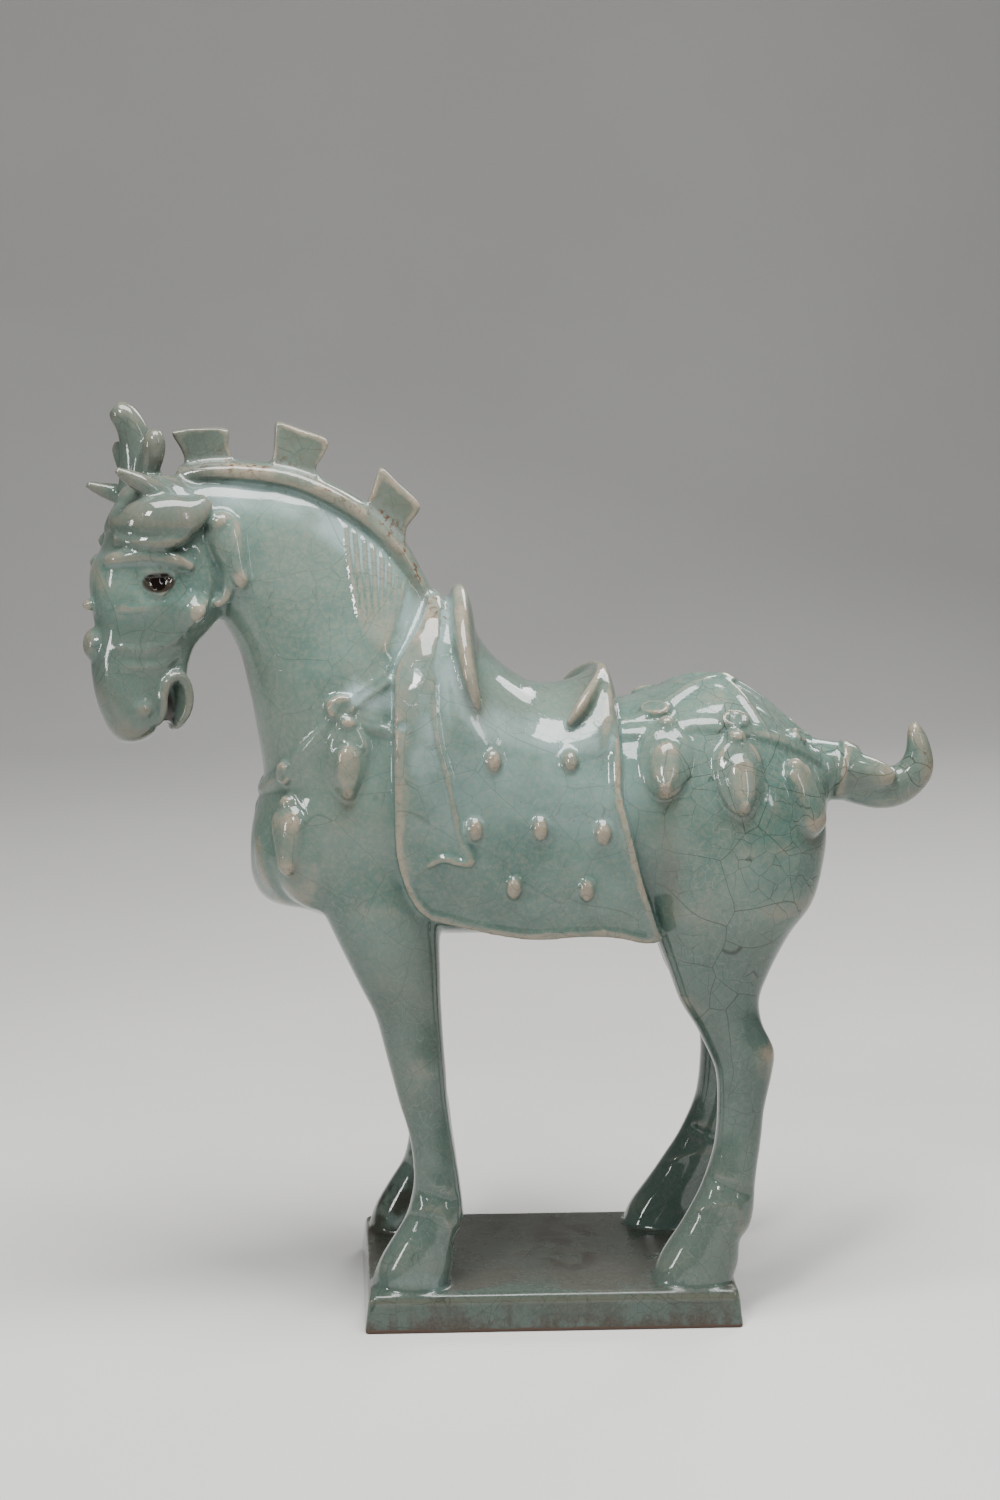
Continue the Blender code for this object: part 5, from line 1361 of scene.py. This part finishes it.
class Nodes:
    """Short ways to add and join shader nodes."""

    def __init__(self, name):
        self.material = bpy.data.materials.new(name)
        self.material.use_nodes = True
        self.tree = self.material.node_tree
        self.shader = self.tree.nodes["Principled BSDF"].inputs
        self.place = self.add("ShaderNodeTexCoord").outputs["Object"]

    def add(self, kind, **settings):
        node = self.tree.nodes.new(kind)
        for key, value in settings.items():
            setattr(node, key, value)
        return node

    def feed(self, sockets, *values, **named):
        """Gives sockets values or other nodes' outputs, in order or by the sockets' names."""
        by_name = [(sockets[name.replace("_", " ")], value) for name, value in named.items()]
        for socket, value in [*zip(sockets, values), *by_name]:
            if isinstance(value, bpy.types.NodeSocket):
                self.tree.links.new(value, socket)
            else:
                socket.default_value = value

    def math(self, operation, one, two):
        node = self.add("ShaderNodeMath", operation=operation)
        self.feed(node.inputs, one, two)
        return node.outputs[0]

    def plus(self, one, two):
        return self.math("ADD", one, two)

    def most(self, one, two):
        return self.math("MAXIMUM", one, two)

    def times(self, product, *shares):
        for share in shares:
            product = self.math("MULTIPLY", product, share)
        return product

    def mapped(self, value, low, high, to_low=0.0, to_high=1.0):
        node = self.add("ShaderNodeMapRange", interpolation_type="SMOOTHSTEP")
        self.feed(node.inputs, value, low, high, to_low, to_high)
        return node.outputs[0]

    def mix(self, share, one, two):
        node = self.add("ShaderNodeMix", data_type="RGBA")
        self.feed(node.inputs, Factor=share, A=one, B=two)
        return node.outputs["Result"]

    def over(self, colour, tint, *shares):
        """A tint laid over a colour, as far as the product of the shares."""
        return self.mix(self.times(*shares), colour, tint)

    def noise(self, scale, detail=3.0, roughness=0.5, where=None):
        node = self.add("ShaderNodeTexNoise")
        self.feed(node.inputs, Vector=where or self.place, Scale=scale, Detail=detail, Roughness=roughness)
        return node.outputs["Fac"]

    def pattern(self, name):
        """One of the noise patterns, as a share."""
        texture, ramp = PATTERNS[name]
        return self.mapped(self.noise(*texture), *ramp)

    def cells(self, scale, where=None, feature="DISTANCE_TO_EDGE", output="Distance"):
        node = self.add("ShaderNodeTexVoronoi", feature=feature)
        self.feed(node.inputs, Vector=where or self.place, Scale=scale)
        return node.outputs[output]

    def vector(self, operation, one, two):
        node = self.add("ShaderNodeVectorMath", operation=operation)
        self.feed(node.inputs, one, two)
        return node.outputs["Value" if operation == "LENGTH" else "Vector"]

    def warped(self, scale, amount):
        """Places shifted a little by noise, so that lines drawn through them wander."""
        shift = self.add("ShaderNodeTexNoise")
        self.feed(shift.inputs, Vector=self.place, Scale=scale)
        less = self.vector("SUBTRACT", shift.outputs["Color"], (0.5, 0.5, 0.5))
        return self.vector("ADD", self.place, self.vector("MULTIPLY", less, (amount, amount, amount)))

    def near(self, middle, radii, soft):
        """1 inside an ellipsoid round a place, fading to 0 just outside it."""
        shares = self.vector("DIVIDE", self.vector("SUBTRACT", self.place, middle), radii)
        return self.mapped(self.vector("LENGTH", shares, (0, 0, 0)), 1.0, 1.0 + soft, 1.0, 0.0)


def in_metres(place):
    """A place in the head's own frame, as metres in the scene."""
    return Matrix.Translation((0, 0, SLAB_THICKNESS)) @ Matrix.Scale(UNIT, 4) @ head_frame() @ Vector(place)


def fired_colours_and_painted_light(n, z, fine, patches):
    """Green and grey by area, milky where the glaze pooled, tan and rusty where it ran thin; painted sheen
    on the cloth, painted shade on the legs, cheek and muzzle.
    """
    thin, pool, milky_and_sheen, warm, rust, comb = (
        n.add("ShaderNodeAttribute", attribute_name=name).outputs["Fac"]
        for name in ("thin", "pool", "milky_and_sheen", "warm", "rust", "comb")
    )
    thin = n.most(thin, n.times(comb, COMB_THINNESS))
    colour = n.mix(n.pattern("pale_clouds"), GREEN_DEEP, GREEN_PALE)
    colour = n.over(colour, GREY_GREEN, n.pattern("grey_drifts"), SHARES["grey_green"])
    colour = n.over(colour, TAN, n.mapped(fine, *FINE_TAN), SHARES["fine_tan"])
    # Painted shade, darker and greyer towards the feet
    colour = n.over(colour, LEG_SHADE_GREY, n.mapped(z, *LEG_SHADE))
    colour = n.over(colour, TURQUOISE, pool, SHARES["turquoise"])
    # Milky where the glaze pooled, and a painted sheen across the cloth
    colour = n.over(colour, MILKY, milky_and_sheen, n.pattern("milky_gaps"), n.mapped(thin, *MILK_ON_THIN))
    colour = n.over(colour, WARM_GREY, warm, n.mapped(patches, *WARM_PATCHES), SHARES["warm_grey"])
    bare = n.times(n.mapped(thin, *TAN_THIN), n.mapped(patches, *TAN_PATCHES), n.mapped(z, *TAN_HEIGHT))
    colour = n.over(colour, TAN, bare, SHARES["tan"])
    edge = n.most(n.mapped(thin, *RUST_THIN), rust)
    colour = n.over(colour, RUST, edge, n.pattern("rusty_stretches"), n.pattern("rusty_specks"))
    # Darker grey-green on the forelock and topknot, and painted shade on the cheek and muzzle
    for middle, radii, share in DUSKY_AND_SHADED_PARTS:
        colour = n.over(colour, DUSKY, n.near(in_metres(middle), radii, SOFTNESS["dusk"]), share)
    return colour


def crackle(n):
    """Long arcs, the cells between them, and short cracks that break off inside the cells."""
    wander = n.warped(*CELL_WANDER)
    apart = n.vector("MULTIPLY", n.cells(CELLS, wander, "F1", "Color"), SHORT_CRACKS_APART)
    short = n.vector("MULTIPLY", n.vector("ADD", n.warped(*SHORT_WANDER), apart), SHORT_STRETCH)
    for scale, where, width in (
        (ARCS, n.warped(*ARC_WANDER), ARC_WIDTH),
        (CELLS, wander, CELL_WIDTH),
        (SHORT_CRACKS, short, SHORT_WIDTH),
    ):
        yield n.mapped(n.cells(scale, where), 0.0, width, 1.0, 0.0)


def cracked(n, colour, x, z):
    """The crackle over a colour, busiest behind and on the legs, and its open lines."""
    arcs, cells, short = crackle(n)
    hind = n.times(n.mapped(x, *HIND_START), n.mapped(z, *HIND_TOP))
    busy = n.most(hind, n.most(n.mapped(z, *LEG_TOP), CALM_CRACKS))
    colour = n.over(colour, CRACK_PALE, short, busy, n.pattern("pale_crazing"), n.mapped(z, *PALE_CRACKS))
    stained = n.most(n.times(hind, n.mapped(z, *DARK_CRACKS)), CALM_CRACKS)
    dark = n.most(arcs, n.times(cells, n.pattern("dark_cells")))
    return n.over(colour, CRACK_DARK, dark, stained, SHARES["dark_cracks"]), n.most(cells, arcs)


def slab_colours(n, colour, y, z, light):
    """The slab's duller glaze: grey-brown on top, green with brown runs on its sides, tan on its edge."""
    slab = n.mapped(z, *SLAB_RISE)
    side = n.mapped(z, *SLAB_SIDE)
    on_top = n.math("SUBTRACT", 1.0, side)
    dirt = n.pattern("slab_dirt")
    grain = n.pattern("slab_grain")
    runs = n.mapped(n.noise(*RUNS, n.vector("MULTIPLY", n.place, RUNS_STRETCH)), *RUNS_RAMP)
    front = n.mapped(n.plus(y, n.times(dirt, SLAB_FRONT_WAVER)), *SLAB_FRONT)
    top = n.over(SLAB_GREEN, SLAB_GREY, n.mapped(dirt, *DIRT_ON_TOP), n.math("SUBTRACT", 1.0, front))
    top = n.over(top, WARM_GREY, grain)
    low = n.mapped(z, *SLAB_LOW)
    sides = n.over(SLAB_GREEN, STAIN, runs, n.most(low, SHARES["high_runs"]))
    sides = n.over(sides, STAIN, n.pattern("slab_blots"), n.most(low, SHARES["high_blots"]))
    sides = n.over(sides, WARM_GREY, grain, SHARES["side_grain"])
    sides = n.over(sides, WARM_GREY, n.mapped(z, *EDGE_FROM), n.mapped(z, *EDGE_TO), SHARES["slab_edge"])
    glaze = n.over(n.mix(side, top, sides), CRACK_DARK, light, SHARES["slab_cracks"])
    return n.over(colour, glaze, slab, SHARES["slab"]), n.times(slab, on_top, n.mapped(dirt, *DULL_DIRT))


def stained_and_shaded_head(n, colour, patches):
    """Painted shade deep in the mouth, brown round the eyes, and dark pupils."""
    # Painted shade: the mouth's hollow darkened
    mouth = n.near(in_metres((MOUTH[0], 0, MOUTH[1])), MOUTH_SHADE, SOFTNESS["mouth"])
    colour = n.over(colour, EYE_BROWN_AND_MOUTH_SHADE, mouth, SHARES["mouth"])
    for side in (1, -1):
        middle = in_metres((EYE[0], side * (EYE[1] - EYE_RADIUS), EYE[2]))
        around = n.near(middle, EYE_STAIN, SOFTNESS["eye"])
        colour = n.over(colour, EYE_BROWN_AND_MOUTH_SHADE, around, n.mapped(patches, *EYE_PATCHES))
        colour = n.over(colour, PUPIL, n.near(middle, (PUPIL_RADIUS,) * 3, SOFTNESS["pupil"]))
    return colour


def celadon_glaze():
    """Pale sea-green glaze: milky where it pooled, tan where it ran thin, crackled all over, with painted
    shade and a painted sheen in places.
    """
    n = Nodes("celadon_glaze")
    split = n.add("ShaderNodeSeparateXYZ")
    n.feed(split.inputs, n.place)
    x, y, z = split.outputs
    fine = n.noise(*FINE)
    patches = n.noise(*PATCHES)
    colour = fired_colours_and_painted_light(n, z, fine, patches)
    colour, light = cracked(n, colour, x, z)
    pits = n.times(n.mapped(n.cells(PITS, feature="F1"), *PIT_SIZE), n.pattern("pit_fields"))
    colour = n.over(colour, RUST, pits, SHARES["pits"])
    rim = (n.near(BLEMISH, (radius,) * 3, soft) for radius, soft in BLEMISH_RIM)
    colour = n.over(colour, STAIN, n.math("SUBTRACT", *rim), n.mapped(patches, *BLEMISH_PATCHES))
    colour, dull = slab_colours(n, colour, y, z, light)
    for place, radii in STAINS:
        spot = n.near(place, radii, SOFTNESS["stain"])
        colour = n.over(colour, STAIN, spot, n.pattern("stain_edges"), SHARES["stains"])
    foot = n.mapped(n.plus(z, n.times(n.noise(FOOT_WAVES), FOOT_WAVER)), *SLAB_FOOT)
    colour = stained_and_shaded_head(n, n.over(colour, BARE_CLAY, foot), patches)
    rough = n.plus(n.pattern("shine"), n.times(foot, FOOT_ROUGHNESS))
    rough = n.plus(rough, n.times(dull, SLAB_ROUGHNESS))
    height = n.noise(*SWELLS)
    for form, rise in ((light, CRACK_RISE), (fine, FINE_RISE), (pits, PIT_RISE)):
        height = n.plus(height, n.times(form, rise))
    bump = n.add("ShaderNodeBump")
    n.feed(bump.inputs, Strength=BUMP_STRENGTH, Distance=BUMP_DISTANCE, Height=height)
    n.feed(n.shader, Base_Color=colour, Roughness=rough, IOR=GLAZE_IOR, Normal=bump.outputs[0])
    return n.material


def floor_material():
    n = Nodes("pale_floor")
    n.feed(n.shader, Base_Color=n.mix(n.pattern("floor_mottle"), *FLOOR_COLOURS), Roughness=FLOOR_ROUGHNESS)
    return n.material


def make_floor():
    """A pale floor that curves up behind the piece."""
    clay = bmesh.new()
    profile = [(-FLOOR_REACH, 0.0)]
    for i in range(FLOOR_CURVE_STEPS + 1):
        turn = 0.5 * math.pi * i / FLOOR_CURVE_STEPS
        profile.append((FLOOR_BACK + FLOOR_CURVE * math.sin(turn), FLOOR_CURVE * (1 - math.cos(turn))))
    profile.append((FLOOR_BACK + FLOOR_CURVE, FLOOR_HEIGHT))
    rows = [[clay.verts.new((x, y, z - FLOOR_GAP)) for x in (-FLOOR_REACH, FLOOR_REACH)] for y, z in profile]
    for one, two in zip(rows, rows[1:]):
        clay.faces.new((one[0], one[1], two[1], two[0]))
    floor = mesh_object("floor", clay)
    floor.data.shade_smooth()
    floor.data.materials.append(floor_material())


def make_lights():
    """Soft boxes: a key and a low one from the left, a fill from the right, one overhead, a rim behind."""
    for name, place, size, power in LIGHTS:
        light = bpy.data.lights.new(name, "AREA")
        light.shape = "RECTANGLE"
        light.size, light.size_y = size
        light.energy = power
        lamp = linked(name, light)
        lamp.location = place
        lamp.rotation_euler = (LIGHT_TARGET - Vector(place)).to_track_quat("-Z", "Y").to_euler()
    world = bpy.data.worlds.new("studio")
    world.use_nodes = True
    sky = world.node_tree.nodes["Background"]
    sky.inputs["Color"].default_value = WORLD_COLOUR
    sky.inputs["Strength"].default_value = WORLD_STRENGTH
    bpy.context.scene.world = world


def make_camera():
    """The photograph's viewing angle: a little from the tail's side and a little from above."""
    yaw = math.radians(CAMERA_YAW)
    pitch = math.radians(CAMERA_PITCH)
    ahead = Vector((math.sin(yaw) * math.cos(pitch), math.cos(yaw) * math.cos(pitch), -math.sin(pitch)))
    data = bpy.data.cameras.new("camera")
    data.lens = CAMERA_LENS
    data.sensor_width = CAMERA_SENSOR
    data.clip_start = CAMERA_CLIP
    camera = linked("camera", data)
    camera.location = CAMERA_TARGET - CAMERA_DISTANCE * ahead
    camera.rotation_euler = ahead.to_track_quat("-Z", "Y").to_euler()
    bpy.context.scene.camera = camera


def make_horse():
    helpers = bpy.data.collections.new("helpers")
    bpy.context.scene.collection.children.link(helpers)
    clay = body_clay(helpers)
    body_skin = Surface(clay)
    add_harness(clay, body_skin)
    add_saddle(clay, helpers)
    add_mane(clay, helpers)
    add_cloth_details(clay, Surface(clay))
    add_head_carving(clay)
    add_head_harness(clay, body_skin)
    for part in (TAIL_WRAP, TAIL_STUB):
        add_sweep(clay, part, Vector((0, 1, 0)))
    clay.transform(Matrix.Translation((0, 0, SLAB_THICKNESS)) @ Matrix.Scale(UNIT, 4))
    add_clay(clay, slab_clay())
    horse = mesh_object("rough_horse", clay, helpers)
    melt(horse, SKIN_CELL * UNIT, SKIN_SMOOTHING_STEPS)
    mesh = glazed_mesh(horse)
    bpy.data.collections.remove(helpers)
    mark_glaze(mesh)
    mesh.name = "glazed_horse"
    made = linked("glazed_horse", mesh)
    made.data.materials.append(celadon_glaze())
    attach(made, "root")
    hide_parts(NODE)


make_horse()
make_floor()
make_lights()
make_camera()
bpy.context.view_layer.update()
